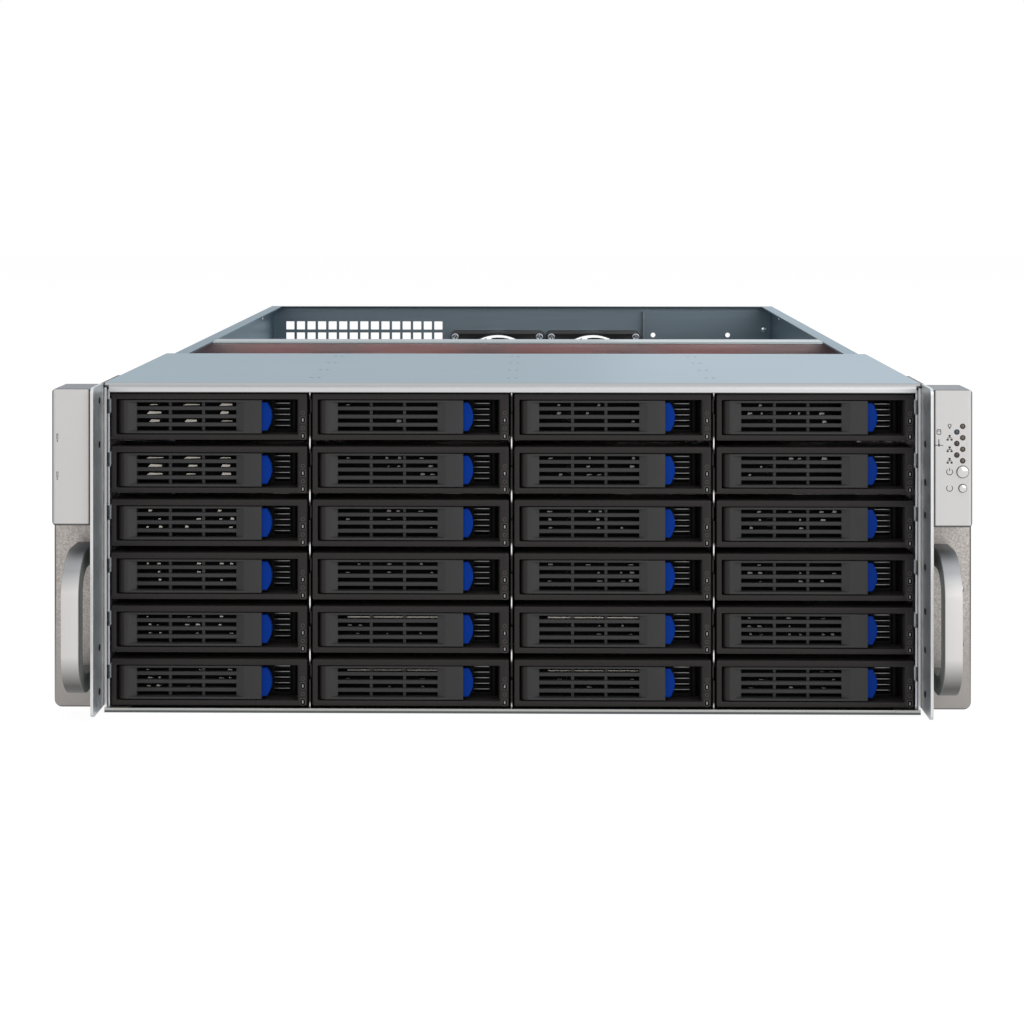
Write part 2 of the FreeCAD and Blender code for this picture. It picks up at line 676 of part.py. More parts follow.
def backplane_boards():
    """One long circuit board behind each row, with a vent window beside every drive socket."""
    half = BAY_PITCH_X * BAY_COLUMNS / 2 - BOARD_END_GAP
    boards = []
    for row in range(BAY_ROWS):
        low = bay_z(row) + BOARD_RISE
        middle = low + BOARD_HEIGHT / 2
        board = box(-half, half, BACKPLANE_Y, BACKPLANE_Y + BOARD_SHEET, low, low + BOARD_HEIGHT)
        vents = [box(bay_x(column) + BOARD_VENT_SHIFT - BOARD_VENT_WIDTH / 2,
                     bay_x(column) + BOARD_VENT_SHIFT + BOARD_VENT_WIDTH / 2,
                     BACKPLANE_Y - SHEET, BACKPLANE_Y + BOARD_SHEET + SHEET,
                     middle - BOARD_VENT_HEIGHT / 2, middle + BOARD_VENT_HEIGHT / 2)
                 for column in range(BAY_COLUMNS)]
        boards.append(cut_from(board, vents))
    return boards


def socket(x, z, width, height, y_face, depth):
    """Socket body on a board face. A negative depth points forward."""
    y0, y1 = sorted((y_face, y_face + depth))
    return box(x - width / 2, x + width / 2, y0, y1, z, z + height)


def backplane_sockets():
    """A drive socket per bay in front, a data socket and two power sockets per board behind."""
    sockets = []
    rear_face = BACKPLANE_Y + BOARD_SHEET
    for row in range(BAY_ROWS):
        low = bay_z(row)
        for column in range(BAY_COLUMNS):
            sockets.append(socket(bay_x(column) + DRIVE_SOCKET_SHIFT, low + DRIVE_SOCKET_RISE,
                                  DRIVE_SOCKET_WIDTH, DRIVE_SOCKET_HEIGHT,
                                  BACKPLANE_Y, -DRIVE_SOCKET_DEPTH))
        sockets.append(socket(DRIVE_SOCKET_SHIFT, low + REAR_SOCKET_RISE, DATA_SOCKET_WIDTH,
                              DATA_SOCKET_HEIGHT, rear_face, DATA_SOCKET_DEPTH))
        for x in evenly(2, POWER_SOCKET_SPAN, DRIVE_SOCKET_SHIFT):
            sockets.append(socket(x, low + REAR_SOCKET_RISE, POWER_SOCKET_WIDTH,
                                  POWER_SOCKET_HEIGHT, rear_face, POWER_SOCKET_DEPTH))
    return sockets


def intake_slots(x, y, z, depth):
    """Level slots in front of a fan, each as long as the fan's circle allows."""
    half = INTAKE_SLOT_HEIGHT / 2
    slots = []
    for rise in evenly(INTAKE_SLOTS, INTAKE_SLOT_PITCH):
        reach = math.sqrt(INTAKE_R ** 2 - rise ** 2)
        slots.append(box(x - reach, x + reach, y, y + depth, z + rise - half, z + rise + half))
    return slots


def fan_screw_places(fan_x, fan_z, spacing):
    return [(x, z) for x in evenly(2, spacing, fan_x) for z in evenly(2, spacing, fan_z)]


def wall_fan_xs():
    return evenly(WALL_FAN_COUNT, WALL_FAN_SIZE + WALL_FAN_SPACING)


def rear_fan_xs():
    return evenly(2, REAR_FAN_SIZE + REAR_FAN_SPACING, REAR_FAN_X)


def fan_wall():
    """Cross wall with three fan openings, folded over the fans at the top."""
    inside_y = FAN_WALL_Y + SHEET
    path = [(FAN_WALL_Y + FAN_WALL_TOP, FLANGE_UNDER), (inside_y, FLANGE_UNDER),
            (inside_y, FOOT_TOP), (FAN_WALL_Y + FAN_WALL_FOOT, FOOT_TOP)]
    wall = bent_sheet(path, SHEET, 0.0, plane_yz, ALONG_X * -INNER_X, ALONG_X * (2 * INNER_X))
    start_y = FAN_WALL_Y - SHEET
    end_y = FAN_WALL_Y + FAN_WALL_TOP + SHEET
    top_end = box(FLANGE_EDGE - FIT, HALF_W, start_y, end_y, FLANGE_UNDER, CASE_HEIGHT)
    foot_end = box(FOOT_EDGE - FIT, HALF_W, start_y, end_y, 0, FOOT_TOP)
    cable_x = INNER_X - CABLE_SLOT_EDGE
    cable = box(cable_x - CABLE_SLOT_WIDTH, cable_x, start_y, inside_y + SHEET,
                WALL_FAN_Z - CABLE_SLOT_HEIGHT / 2, WALL_FAN_Z + CABLE_SLOT_HEIGHT / 2)
    cuts = []
    for piece in (top_end, foot_end, cable):
        cuts += [piece, other_side(piece)]
    for x in wall_fan_xs():
        cuts += intake_slots(x, start_y, WALL_FAN_Z, 3 * SHEET)
    return cut_from(wall, cuts)


def fan_frame(size, depth, hub_r):
    """Square fan frame round x = 0, z = 0 with its motor seat and shaft on struts at the rear."""
    half = size / 2
    bore = half - FAN_RIM
    frame = box(-half, half, 0, depth, -half, half)
    corners = [edge for edge in frame.Edges if abs(edge.tangentAt(edge.FirstParameter).y) > 0.5]
    frame = frame.makeChamfer(FAN_CORNER, corners)
    duct = prism(FAN_BORE_SIDES, bore, Vector(0, -SHEET, 0), ALONG_Y, depth + 2 * SHEET)
    frame = cut_from(frame, [duct])
    seat_y = depth - FAN_STRUT_DEPTH
    seat = prism(FAN_HUB_SIDES, hub_r, ALONG_Y * seat_y, ALONG_Y, FAN_STRUT_DEPTH)
    shaft = rod(FAN_SHAFT_R, Vector(0, seat_y - FAN_SHAFT_REACH, 0), ALONG_Y, FAN_SHAFT_REACH)
    struts = []
    for index in range(FAN_STRUTS):
        strut = box(0, bore + FAN_RIM / 2, seat_y, depth, -FAN_STRUT_WIDTH / 2, FAN_STRUT_WIDTH / 2)
        strut.rotate(Vector(0, 0, 0), ALONG_Y, 360.0 * (index + 0.5) / FAN_STRUTS)
        struts.append(strut)
    return joined(frame, [seat, shaft] + struts)


def fan_rotor(size, depth, hub_r, chord):
    """Hub with pitched blades, running on the frame's shaft."""
    sweep_r = (size / 2 - FAN_RIM) * math.cos(math.pi / FAN_BORE_SIDES) - FAN_TIP_GAP
    hub_end = depth - FAN_STRUT_DEPTH - FAN_HUB_GAP
    hub_length = hub_end - FAN_SETBACK
    reach = (chord * math.cos(math.radians(FAN_BLADE_PITCH)) + FAN_BLADE_THICK) / 2
    tip = math.sqrt(sweep_r ** 2 - reach ** 2)
    blades = []
    for index in range(FAN_BLADES):
        blade = box(hub_r / 2, tip, -FAN_BLADE_THICK / 2, FAN_BLADE_THICK / 2, -chord / 2, chord / 2)
        blade.rotate(Vector(0, 0, 0), ALONG_X, FAN_BLADE_PITCH)
        blade.translate(ALONG_Y * (FAN_SETBACK + hub_length / 2))
        blade.rotate(Vector(0, 0, 0), ALONG_Y, 360.0 * index / FAN_BLADES)
        blades.append(blade)
    hub = prism(FAN_HUB_SIDES, hub_r, ALONG_Y * FAN_SETBACK, ALONG_Y, hub_length)
    rotor = joined(hub, blades)
    bore_depth = FAN_SHAFT_REACH - FAN_HUB_GAP + FIT
    bore = prism(SMALL_SIDES, round_room(FAN_SHAFT_R, SHAFT_CLEARANCE),
                 ALONG_Y * (hub_end - bore_depth), ALONG_Y, bore_depth + SHEET)
    return cut_from(rotor, [bore])


WALL_FAN_FACE = FAN_WALL_Y + SHEET
REAR_FAN_FACE = REAR_Y - SHEET - REAR_FAN_DEPTH


def wall_fan(shape, index):
    return shape.translated(Vector(wall_fan_xs()[index], WALL_FAN_FACE, WALL_FAN_Z))


def rear_fan(shape, index):
    return shape.translated(Vector(rear_fan_xs()[index], REAR_FAN_FACE, REAR_FAN_Z))


def slot_xs():
    return evenly(SLOT_COUNT, SLOT_PITCH, SLOT_BANK_X)


def psu_opening():
    """Opening in the rear panel for the upright power supply."""
    return box(PSU_X - PSU_WIDTH / 2, PSU_X + PSU_WIDTH / 2, REAR_Y - 2 * SHEET, REAR_Y + SHEET,
               PSU_FLOOR, PSU_FLOOR + PSU_HEIGHT)


def rear_panel():
    """Rear wall with vents, card slots, a port opening, two fan openings and the supply bay."""
    inside_y = REAR_Y - SHEET
    path = [(inside_y, BASE_TOP), (inside_y, FLANGE_UNDER), (REAR_Y - TOP_FLANGE, FLANGE_UNDER)]
    panel = bent_sheet(path, SHEET, 0.0, plane_yz, ALONG_X * -INNER_X, ALONG_X * (2 * INNER_X))
    start_y = inside_y - SHEET
    depth = 3 * SHEET
    end_y = start_y + depth
    corner = box(FLANGE_EDGE - FIT, HALF_W, REAR_Y - 2 * TOP_FLANGE, inside_y,
                 FLANGE_UNDER - SHEET, CASE_HEIGHT)
    cuts = [corner, other_side(corner), psu_opening()]
    half_vent = VENT_SIZE / 2
    top_row = CASE_HEIGHT - VENT_DROP
    for row in range(VENT_ROWS):
        z = top_row - VENT_PITCH_Z * row
        for x in evenly(VENT_COLUMNS, VENT_PITCH_X, SLOT_BANK_X):
            cuts.append(box(x - half_vent, x + half_vent, start_y, end_y, z - half_vent, z + half_vent))
    for x in slot_xs():
        cuts.append(box(x - SLOT_WIDTH / 2, x + SLOT_WIDTH / 2, start_y, end_y,
                        SLOT_RISE, SLOT_RISE + SLOT_OPENING))
    cuts.append(box(IO_X - IO_WIDTH / 2, IO_X + IO_WIDTH / 2, start_y, end_y,
                    IO_RISE, IO_RISE + IO_HEIGHT))
    for x in rear_fan_xs():
        cuts.append(rod(REAR_FAN_OPENING_R, Vector(x, start_y, REAR_FAN_Z), ALONG_Y, depth))
    return cut_from(panel, cuts)


def slot_covers():
    """Blanking strips inside the rear panel, one over each card slot."""
    back = REAR_Y - SHEET
    return [box(x - COVER_STRIP_WIDTH / 2, x + COVER_STRIP_WIDTH / 2, back - COVER_STRIP_SHEET, back,
                SLOT_RISE - COVER_STRIP_LAP, SLOT_RISE + SLOT_OPENING + COVER_STRIP_LAP)
            for x in slot_xs()]


def psu_hole_places():
    """Screw places of an upright standard power supply: a pair on top and two below."""
    left = PSU_X - PSU_WIDTH / 2 + PSU_HOLE_EDGE
    right = left + PSU_PAIR_SPACING
    return [(left, PSU_HOLE_HIGH), (right, PSU_HOLE_HIGH), (left, PSU_HOLE_LOW),
            (right + PSU_FOURTH_SHIFT, PSU_HOLE_LOW + PSU_FOURTH_RISE)]


def psu_plate():
    """Adapter plate inside the rear panel that the power supply screws to."""
    inside_y = REAR_Y - 2 * SHEET
    left = PSU_X - PSU_PLATE_LEFT
    right = INNER_X - PSU_PLATE_EDGE
    path = [(right, inside_y), (left + SHEET, inside_y), (left + SHEET, inside_y - PSU_PLATE_FLANGE)]
    plate = bent_sheet(path, SHEET, 0.0, plane_xy, ALONG_Z * PSU_PLATE_FLOOR,
                       ALONG_Z * PSU_PLATE_HEIGHT)
    start_y = inside_y - SHEET
    depth = 3 * SHEET
    cuts = [box(PSU_X - PSU_CUT_WIDTH / 2, PSU_X + PSU_CUT_WIDTH / 2, start_y, start_y + depth,
                PSU_CUT_RISE, PSU_CUT_RISE + PSU_CUT_HEIGHT)]
    cuts += [rod(PSU_HOLE_R, Vector(x, start_y, z), ALONG_Y, depth) for x, z in psu_hole_places()]
    return cut_from(plate, cuts)


def stud_places():
    """Three columns and three rows of main board studs in the standard pattern."""
    first_x = SLOT_BANK_X + STUD_FROM_SLOTS
    first_y = REAR_Y - STUD_REAR_INSET
    columns = [first_x, first_x - STUD_PITCH_X_RIGHT, first_x - STUD_PITCH_X_RIGHT - STUD_PITCH_X_LEFT]
    rows = [first_y, first_y - STUD_PITCH_Y_REAR, first_y - STUD_PITCH_Y_REAR - STUD_PITCH_Y_FRONT]
    return [(x, y) for x in columns for y in rows]


def hexagon(across, start, axis, height):
    """Hexagonal prism with a size across its flats."""
    return prism(6, across / math.sqrt(3), start, axis, height)


def board_studs():
    """Hexagonal threaded studs on the base."""
    hole = rod(STUD_HOLE_R, ALONG_Z * -SHEET, ALONG_Z, STUD_HEIGHT + 2 * SHEET)
    stud = cut_from(hexagon(STUD_ACROSS, Vector(0, 0, 0), ALONG_Z, STUD_HEIGHT), [hole])
    return [stud.translated(Vector(x, y, BASE_TOP)) for x, y in stud_places()]


def rack_slot_places():
    return [RACK_SLOT_LOW, RACK_SLOT_LOW + RACK_SLOT_STEP]


def rack_ear():
    """Right-hand rack flange, folded back along the guard plate and slotted for rack screws."""
    leg_x = GUARD_X + EAR_SHEET
    path = [(leg_x, FRONT_Y + EAR_LEG), (leg_x, FRONT_Y + EAR_SHEET),
            (RACK_WIDTH / 2, FRONT_Y + EAR_SHEET)]
    ear = bent_sheet(path, EAR_SHEET, 0.0, plane_xy, ALONG_Z * EAR_FLOOR,
                     ALONG_Z * (EAR_TOP - EAR_FLOOR))
    outer_edges = [edge for edge in ear.Edges
                   if edge.BoundBox.XMin > RACK_WIDTH / 2 - FIT and edge.BoundBox.YLength > FIT]
    ear = ear.makeFillet(EAR_CORNER_R, outer_edges)
    cuts = [slot_hole(RACK_SLOT_LENGTH, RACK_SLOT_WIDTH,
                      Vector(RACK_HOLE_SPACING / 2, FRONT_Y - EAR_SHEET, z), 3 * EAR_SHEET)
            for z in rack_slot_places()]
    return cut_from(ear, cuts)


def guard_plate():
    """Right-hand plate that stands forward beside the trays and is held by the ear screws."""
    plate = box(HALF_W, GUARD_X, FRONT_Y - GUARD_REACH, FRONT_Y + EAR_LEG, GUARD_FLOOR, CASE_HEIGHT)
    front_edges = [edge for edge in plate.Edges
                   if edge.BoundBox.YMax < FRONT_Y and edge.BoundBox.XLength > FIT]
    return plate.makeFillet(GUARD_CORNER_R, front_edges)


def ear_screws():
    """Hexagonal heads of the screws that hold each ear and its guard plate to the side panel."""
    screws = []
    for z in ear_screw_places():
        seat = Vector(GUARD_X + EAR_SHEET, FRONT_Y + EAR_SCREW_SETBACK, z)
        screw = hexagon(SCREW_ACROSS, seat, ALONG_X, SCREW_HEAD)
        screws += [screw, other_side(screw)]
    return screws


def rear_fan_screws():
    """Hexagonal heads of the screws in the corners of the rear fans."""
    return [hexagon(SCREW_ACROSS, Vector(x, REAR_FAN_FACE, z), -ALONG_Y, SCREW_HEAD)
            for fan_x in rear_fan_xs()
            for x, z in fan_screw_places(fan_x, REAR_FAN_Z, REAR_FAN_SCREWS)]


def ear_housing():
    """Right-hand moulded box on the ear, open towards the flange."""
    right = HOUSING_X + HOUSING_WIDTH
    shell = box(HOUSING_X, right, HOUSING_FRONT, FRONT_Y, HOUSING_FLOOR, HOUSING_TOP)
    outer_edges = [edge for edge in shell.Edges
                   if edge.BoundBox.XMin > right - FIT and edge.BoundBox.YMin < FRONT_Y - FIT]
    shell = shell.makeFillet(HOUSING_ROUND, outer_edges)
    inside = box(HOUSING_X + HOUSING_WALL, right - HOUSING_WALL, HOUSING_FRONT + HOUSING_WALL,
                 FRONT_Y + SHEET, HOUSING_FLOOR + HOUSING_WALL, HOUSING_TOP - HOUSING_WALL)
    return cut_from(shell, [inside])


def lamp_places():
    """Two staggered columns of lamps above the buttons."""
    return [(CONTROL_X - LAMP_SHIFT * (index % 2), HOUSING_TOP - LAMP_DROP - LAMP_STEP * index)
            for index in range(LAMP_COUNT)]


def control_housing():
    """Right housing with holes for the lamps and the two buttons."""
    start_y = HOUSING_FRONT - SHEET
    depth = HOUSING_WALL + 2 * SHEET
    cuts = [prism(SMALL_SIDES, LAMP_R + LAMP_CLEARANCE, Vector(x, start_y, z), ALONG_Y, depth)
            for x, z in lamp_places()]
    for radius, drop in ((POWER_R, POWER_DROP), (RESET_R, RESET_DROP)):
        cuts.append(rod(radius + BUTTON_CLEARANCE, Vector(CONTROL_X, start_y, HOUSING_TOP - drop),
                        ALONG_Y, depth))
    return cut_from(ear_housing(), cuts)


def status_lamps():
    """Lamp lenses that stand on the control board and show through the housing."""
    length = CONTROL_BOARD_Y - HOUSING_FRONT + LAMP_PROUD
    return [prism(SMALL_SIDES, LAMP_R, Vector(x, HOUSING_FRONT - LAMP_PROUD, z), ALONG_Y, length)
            for x, z in lamp_places()]


def push_button(radius, drop):
    """Cap with a broken edge and a collar behind the housing wall."""
    top = HOUSING_FRONT - BUTTON_PROUD
    collar_r = radius + BUTTON_COLLAR
    profile = outline([(0, top), (radius - BUTTON_CHAMFER, top), (radius, top + BUTTON_CHAMFER),
                       (radius, COLLAR_Y), (collar_r, COLLAR_Y), (collar_r, COLLAR_END),
                       (0, COLLAR_END)], plane_xy)
    button = profile.revolve(Vector(0, 0, 0), ALONG_Y, 360)
    return button.translated(Vector(CONTROL_X, 0, HOUSING_TOP - drop))


def control_board():
    """Small board across the right housing, with a switch behind each button."""
    left = HOUSING_X + HOUSING_WALL
    right = HOUSING_X + HOUSING_WIDTH - HOUSING_WALL
    top = HOUSING_TOP - CONTROL_BOARD_DROP
    board = box(left, right, CONTROL_BOARD_Y, CONTROL_BOARD_Y + BOARD_SHEET,
                top - CONTROL_BOARD_HEIGHT, top)
    half = SWITCH_SIZE / 2
    switches = [box(CONTROL_X - half, CONTROL_X + half, SWITCH_FRONT, CONTROL_BOARD_Y,
                    HOUSING_TOP - drop - half, HOUSING_TOP - drop + half)
                for drop in (POWER_DROP, RESET_DROP)]
    return joined(board, switches)


USB_Y = HOUSING_FRONT + HOUSING_DEPTH / 2


def usb_heights():
    return [HOUSING_TOP - USB_DROP - USB_STEP * index for index in range(USB_COUNT)]


def usb_housing():
    """Left housing with two port openings in its outer side, made on the right and mirrored."""
    right = HOUSING_X + HOUSING_WIDTH
    half_y = USB_THICK / 2 + FIT
    half_z = USB_LENGTH / 2 + FIT
    cuts = [box(right - HOUSING_WALL - SHEET, right + SHEET, USB_Y - half_y, USB_Y + half_y,
                z - half_z, z + half_z) for z in usb_heights()]
    return other_side(cut_from(ear_housing(), cuts))


def usb_board():
    """Board with two port shells, each a thin box round a contact tongue, on the left ear."""
    right = HOUSING_X + HOUSING_WIDTH
    back = right - USB_DEPTH
    board = box(back - BOARD_SHEET, back, HOUSING_FRONT + HOUSING_WALL, FRONT_Y,
                usb_heights()[-1] - USB_LENGTH, usb_heights()[0] + USB_LENGTH)
    ports = []
    for z in usb_heights():
        half_y = USB_THICK / 2
        half_z = USB_LENGTH / 2
        shell = box(back, right, USB_Y - half_y, USB_Y + half_y, z - half_z, z + half_z)
        inside = box(back + USB_SHELL, right + SHEET, USB_Y - half_y + USB_SHELL,
                     USB_Y + half_y - USB_SHELL, z - half_z + USB_SHELL, z + half_z - USB_SHELL)
        tongue = box(back, back + USB_TONGUE_REACH, USB_Y, USB_Y + USB_TONGUE_THICK,
                     z - USB_TONGUE_LENGTH / 2, z + USB_TONGUE_LENGTH / 2)
        ports.append(joined(cut_from(shell, [inside]), [tongue]))
    return other_side(joined(board, ports))


def front_handle():
    """Right-hand pull handle: a flat bar bent to a D, with broken edges."""
    left = GUARD_X + HANDLE_INSET
    inner_y = FRONT_Y - HANDLE_REACH + HANDLE_BAR
    low = HANDLE_FLOOR + HANDLE_BAR
    high = HANDLE_FLOOR + HANDLE_HEIGHT - HANDLE_BAR
    path = [(FRONT_Y, high), (inner_y, high), (inner_y, low), (FRONT_Y, low)]
    handle = bent_sheet(path, HANDLE_BAR, HANDLE_ROUND, plane_yz, ALONG_X * left,
                        ALONG_X * HANDLE_WIDTH)
    long_edges = [edge for edge in handle.Edges
                  if edge.BoundBox.XLength < FIT and edge.BoundBox.YMin < FRONT_Y - FIT]
    return handle.makeChamfer(HANDLE_CHAMFER, long_edges)


def write_node(name, solids):
    """Write one node, a single solid or a group of separate ones."""
    shape = solids[0] if len(solids) == 1 else Part.makeCompound(solids)
    shape.exportStep(os.path.join("parts", name + ".step"))


def tray_nodes():
    """Nodes of every tray. The top row is full, its levers and latches are nodes of their own."""
    carrier = tray_carrier()
    nodes = {}
    for row in range(BAY_ROWS):
        full = row == 0
        bezel = tray_bezel(full)
        lever = tray_lever(full)
        latch = tray_latch(full)
        for column in range(BAY_COLUMNS):
            place = Vector(bay_x(column), TRAY_Y, bay_z(row))
            label = "r%dc%d" % (row + 1, column + 1)
            tray = [piece.translated(place) for piece in [bezel] + carrier]
            if full:
                nodes["tray_lever_" + label] = [lever.translated(place)]
                nodes["tray_latch_" + label] = [latch.translated(place)]
            else:
                tray += [lever.translated(place), latch.translated(place)]
            nodes["drive_tray_" + label] = tray
    return nodes


def fan_nodes():
    """Frames in two groups and every rotor by itself."""
    wall_frame = fan_frame(WALL_FAN_SIZE, WALL_FAN_DEPTH, WALL_FAN_HUB_R)
    wall_rotor = fan_rotor(WALL_FAN_SIZE, WALL_FAN_DEPTH, WALL_FAN_HUB_R, WALL_FAN_CHORD)
    rear_frame = fan_frame(REAR_FAN_SIZE, REAR_FAN_DEPTH, REAR_FAN_HUB_R)
    rear_rotor = fan_rotor(REAR_FAN_SIZE, REAR_FAN_DEPTH, REAR_FAN_HUB_R, REAR_FAN_CHORD)
    nodes = {"wall_fan_frames": [wall_fan(wall_frame, index) for index in range(WALL_FAN_COUNT)],
             "rear_fan_frames": [rear_fan(rear_frame, index) for index in range(2)]}
    for index in range(WALL_FAN_COUNT):
        nodes["wall_fan_rotor_%d" % (index + 1)] = [wall_fan(wall_rotor, index)]
    for index in range(2):
        nodes["rear_fan_rotor_%d" % (index + 1)] = [rear_fan(rear_rotor, index)]
    return nodes


def both_sides(shapes):
    """The left-hand copies of some right-hand pieces, then the pieces themselves."""
    return [other_side(shape) for shape in shapes] + shapes


def main():
    """Build every node and write it to the parts folder."""
    os.makedirs("parts", exist_ok=True)
    nodes = {
        "base_plate": [base_plate()],
        "side_panels": both_sides(side_panel()),
        "front_top_cover": [front_top_cover()],
        "rear_panel": [rear_panel()],
        "bay_dividers": bay_dividers(),
        "backplane_boards": backplane_boards(),
        "backplane_sockets": backplane_sockets(),
        "fan_wall": [fan_wall()],
        "slot_covers": slot_covers(),
        "psu_plate": [psu_plate()],
        "board_studs": board_studs(),
        "rack_ears": both_sides([rack_ear()]),
        "guard_plates": both_sides([guard_plate()]),
        "case_screws": ear_screws() + rear_fan_screws(),
        "control_housing": [control_housing()],
        "usb_housing": [usb_housing()],
        "ear_boards": [usb_board(), control_board()],
        "status_lamps": status_lamps(),
        "power_button": [push_button(POWER_R, POWER_DROP)],
        "reset_button": [push_button(RESET_R, RESET_DROP)],
        "front_handles": both_sides([front_handle()]),
    }
    nodes.update(fan_nodes())
    nodes.update(tray_nodes())
    for name, solids in nodes.items():
        write_node(name, solids)


if __name__ == "__main__":
    main()
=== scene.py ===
"""Looks of the rackmount server case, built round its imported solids."""

import logging
import math
from dataclasses import dataclass, field
from enum import Enum
from functools import partial
from random import Random
from typing import Any, Callable, Mapping, Sequence

import bmesh
import bpy
from mathutils import Matrix, Vector


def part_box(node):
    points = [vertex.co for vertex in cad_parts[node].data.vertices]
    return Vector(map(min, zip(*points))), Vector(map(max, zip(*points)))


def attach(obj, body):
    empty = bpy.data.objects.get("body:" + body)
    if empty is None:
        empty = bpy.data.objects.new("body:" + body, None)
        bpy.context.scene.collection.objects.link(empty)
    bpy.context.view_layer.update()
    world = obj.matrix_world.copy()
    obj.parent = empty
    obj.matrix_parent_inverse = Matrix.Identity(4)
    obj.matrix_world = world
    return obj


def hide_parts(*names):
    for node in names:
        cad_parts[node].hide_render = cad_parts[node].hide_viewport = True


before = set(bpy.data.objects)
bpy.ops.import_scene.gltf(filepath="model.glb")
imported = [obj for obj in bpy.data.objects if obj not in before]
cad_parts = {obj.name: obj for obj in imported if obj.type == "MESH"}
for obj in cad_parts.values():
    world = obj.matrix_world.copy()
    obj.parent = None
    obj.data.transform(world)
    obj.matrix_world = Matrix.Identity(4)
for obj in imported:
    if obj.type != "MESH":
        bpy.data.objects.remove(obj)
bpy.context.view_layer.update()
LOG = logging.getLogger("server_case")
MM = 0.001

Point2 = tuple[float, float]
Point3 = tuple[float, float, float]
Colour = tuple[float, float, float]


class Facing(Enum):
    """Where the outline of a plate lies: its two drawing axes and the axis of its thickness."""

    FRONT = (0, 2, 1)
    SIDE = (1, 2, 0)
    TOP = (0, 1, 2)


class Wire:
    """Value socket of a node tree that takes part in Python maths."""

    def __init__(self, tree: bpy.types.NodeTree, socket: bpy.types.NodeSocket) -> None:
        """Hold one output socket of a tree."""
        self.tree = tree
        self.socket = socket

    def _math(self, operation: str, left: Any, right: Any) -> "Wire":
        """Add a Math node.

        Args:
            operation: Name of the node's operation.
            left: First value or wire.
            right: Second value or wire.

        Returns:
            The node's result.
        """
        node = self.tree.nodes.new("ShaderNodeMath")
        node.operation = operation
        for socket, value in zip(node.inputs, (left, right)):
            feed(self.tree, socket, value)
        return Wire(self.tree, node.outputs[0])

    def __add__(self, other: Any) -> "Wire":
        """Sum with a number or wire."""
        return self._math("ADD", self, other)

    def __sub__(self, other: Any) -> "Wire":
        """Difference from a number or wire."""
        return self._math("SUBTRACT", self, other)

    def __rsub__(self, other: Any) -> "Wire":
        """A number less this wire."""
        return self._math("SUBTRACT", other, self)

    def __mul__(self, other: Any) -> "Wire":
        """Product with a number or wire."""
        return self._math("MULTIPLY", self, other)

    __radd__ = __add__
    __rmul__ = __mul__


def feed(tree: bpy.types.NodeTree, socket: bpy.types.NodeSocket, value: Any) -> None:
    """Link a wire or an output to a socket, or set the socket's own value.

    Args:
        tree: Tree that holds the socket.
        socket: Input that is fed.
        value: Wire, output socket or plain value.
    """
    source = value.socket if isinstance(value, Wire) else value
    if isinstance(source, bpy.types.NodeSocket):
        tree.links.new(source, socket)
    else:
        socket.default_value = source


class ShaderTree:
    """Shader nodes of a material or a world, with one way to add to them."""

    def __init__(self, tree: bpy.types.NodeTree) -> None:
        """Hold the tree."""
        self.tree = tree

    def node(self, kind: str, settings: Mapping[str, Any], inputs: Mapping[Any, Any],
             output: Any = 0) -> Wire:
        """Add any node.

        Args:
            kind: Node type without its ShaderNode prefix.
            settings: Attributes set before the sockets.
            inputs: Values or wires by socket name or number.
            output: Name or number of the output that is returned.

        Returns:
            The chosen output.
        """
        node = self.tree.nodes.new("ShaderNode" + kind)
        for key, value in settings.items():
            setattr(node, key, value)
        for key, value in inputs.items():
            feed(self.tree, node.inputs[key], value)
        return Wire(self.tree, node.outputs[output])


class Surface(ShaderTree):
    """Material with a principled shader."""

    def __init__(self, name: str, **constants: Any) -> None:
        """Start a material.

        Args:
            name: Material name.
            constants: Values of the shader's sockets, with spaces written as underscores.
        """
        self.material = bpy.data.materials.new(name)
        self.material.use_nodes = True
        super().__init__(self.material.node_tree)
        self.shader = self.tree.nodes["Principled BSDF"]
        self.set(**constants)

    def set(self, **values: Any) -> None:
        """Feed the shader's sockets, with spaces written as underscores."""
        for key, value in values.items():
            feed(self.tree, self.shader.inputs[key.replace("_", " ")], value)

    def spots(self, scale: Point3) -> Wire:
        """Object coordinates, scaled for a texture."""
        place = self.node("TexCoord", {}, {}, "Object")
        return self.node("Mapping", {}, {"Vector": place, "Scale": scale})

    def noise(self, scale: Point3, detail: float = 3.0) -> Wire:
        """Smooth noise from 0 to 1 with a scale for each axis, in cycles per metre."""
        return self.node("TexNoise", {}, {"Vector": self.spots(scale), "Scale": 1.0, "Detail": detail}, "Fac")

    def cells(self, scale: float, output: str) -> Wire:
        """One output of a pattern of irregular cells, so many to a metre."""
        return self.node("TexVoronoi", {}, {"Vector": self.spots(even(scale)), "Scale": 1.0}, output)

    def blend(self, factor: Wire, first: Any, second: Any) -> Wire:
        """Mix of two colours, each a colour or a wire, by a factor."""
        low, high = (value if isinstance(value, Wire) else (*value, 1.0) for value in (first, second))
        return self.node("Mix", {"data_type": "RGBA"}, {0: factor, 6: low, 7: high}, 2)

    def bump(self, height: Wire, strength: float, distance: float) -> None:
        """Feed a height to the shader's normal."""
        self.set(Normal=self.node("Bump", {}, {"Height": height, "Strength": strength, "Distance": distance}))


def tint(colour: Colour, factor: float) -> Colour:
    """The colour made lighter or darker."""
    return tuple(min(1.0, channel * factor) for channel in colour)


def even(value: float) -> Point3:
    """The same value for all three axes or channels."""
    return (value, value, value)


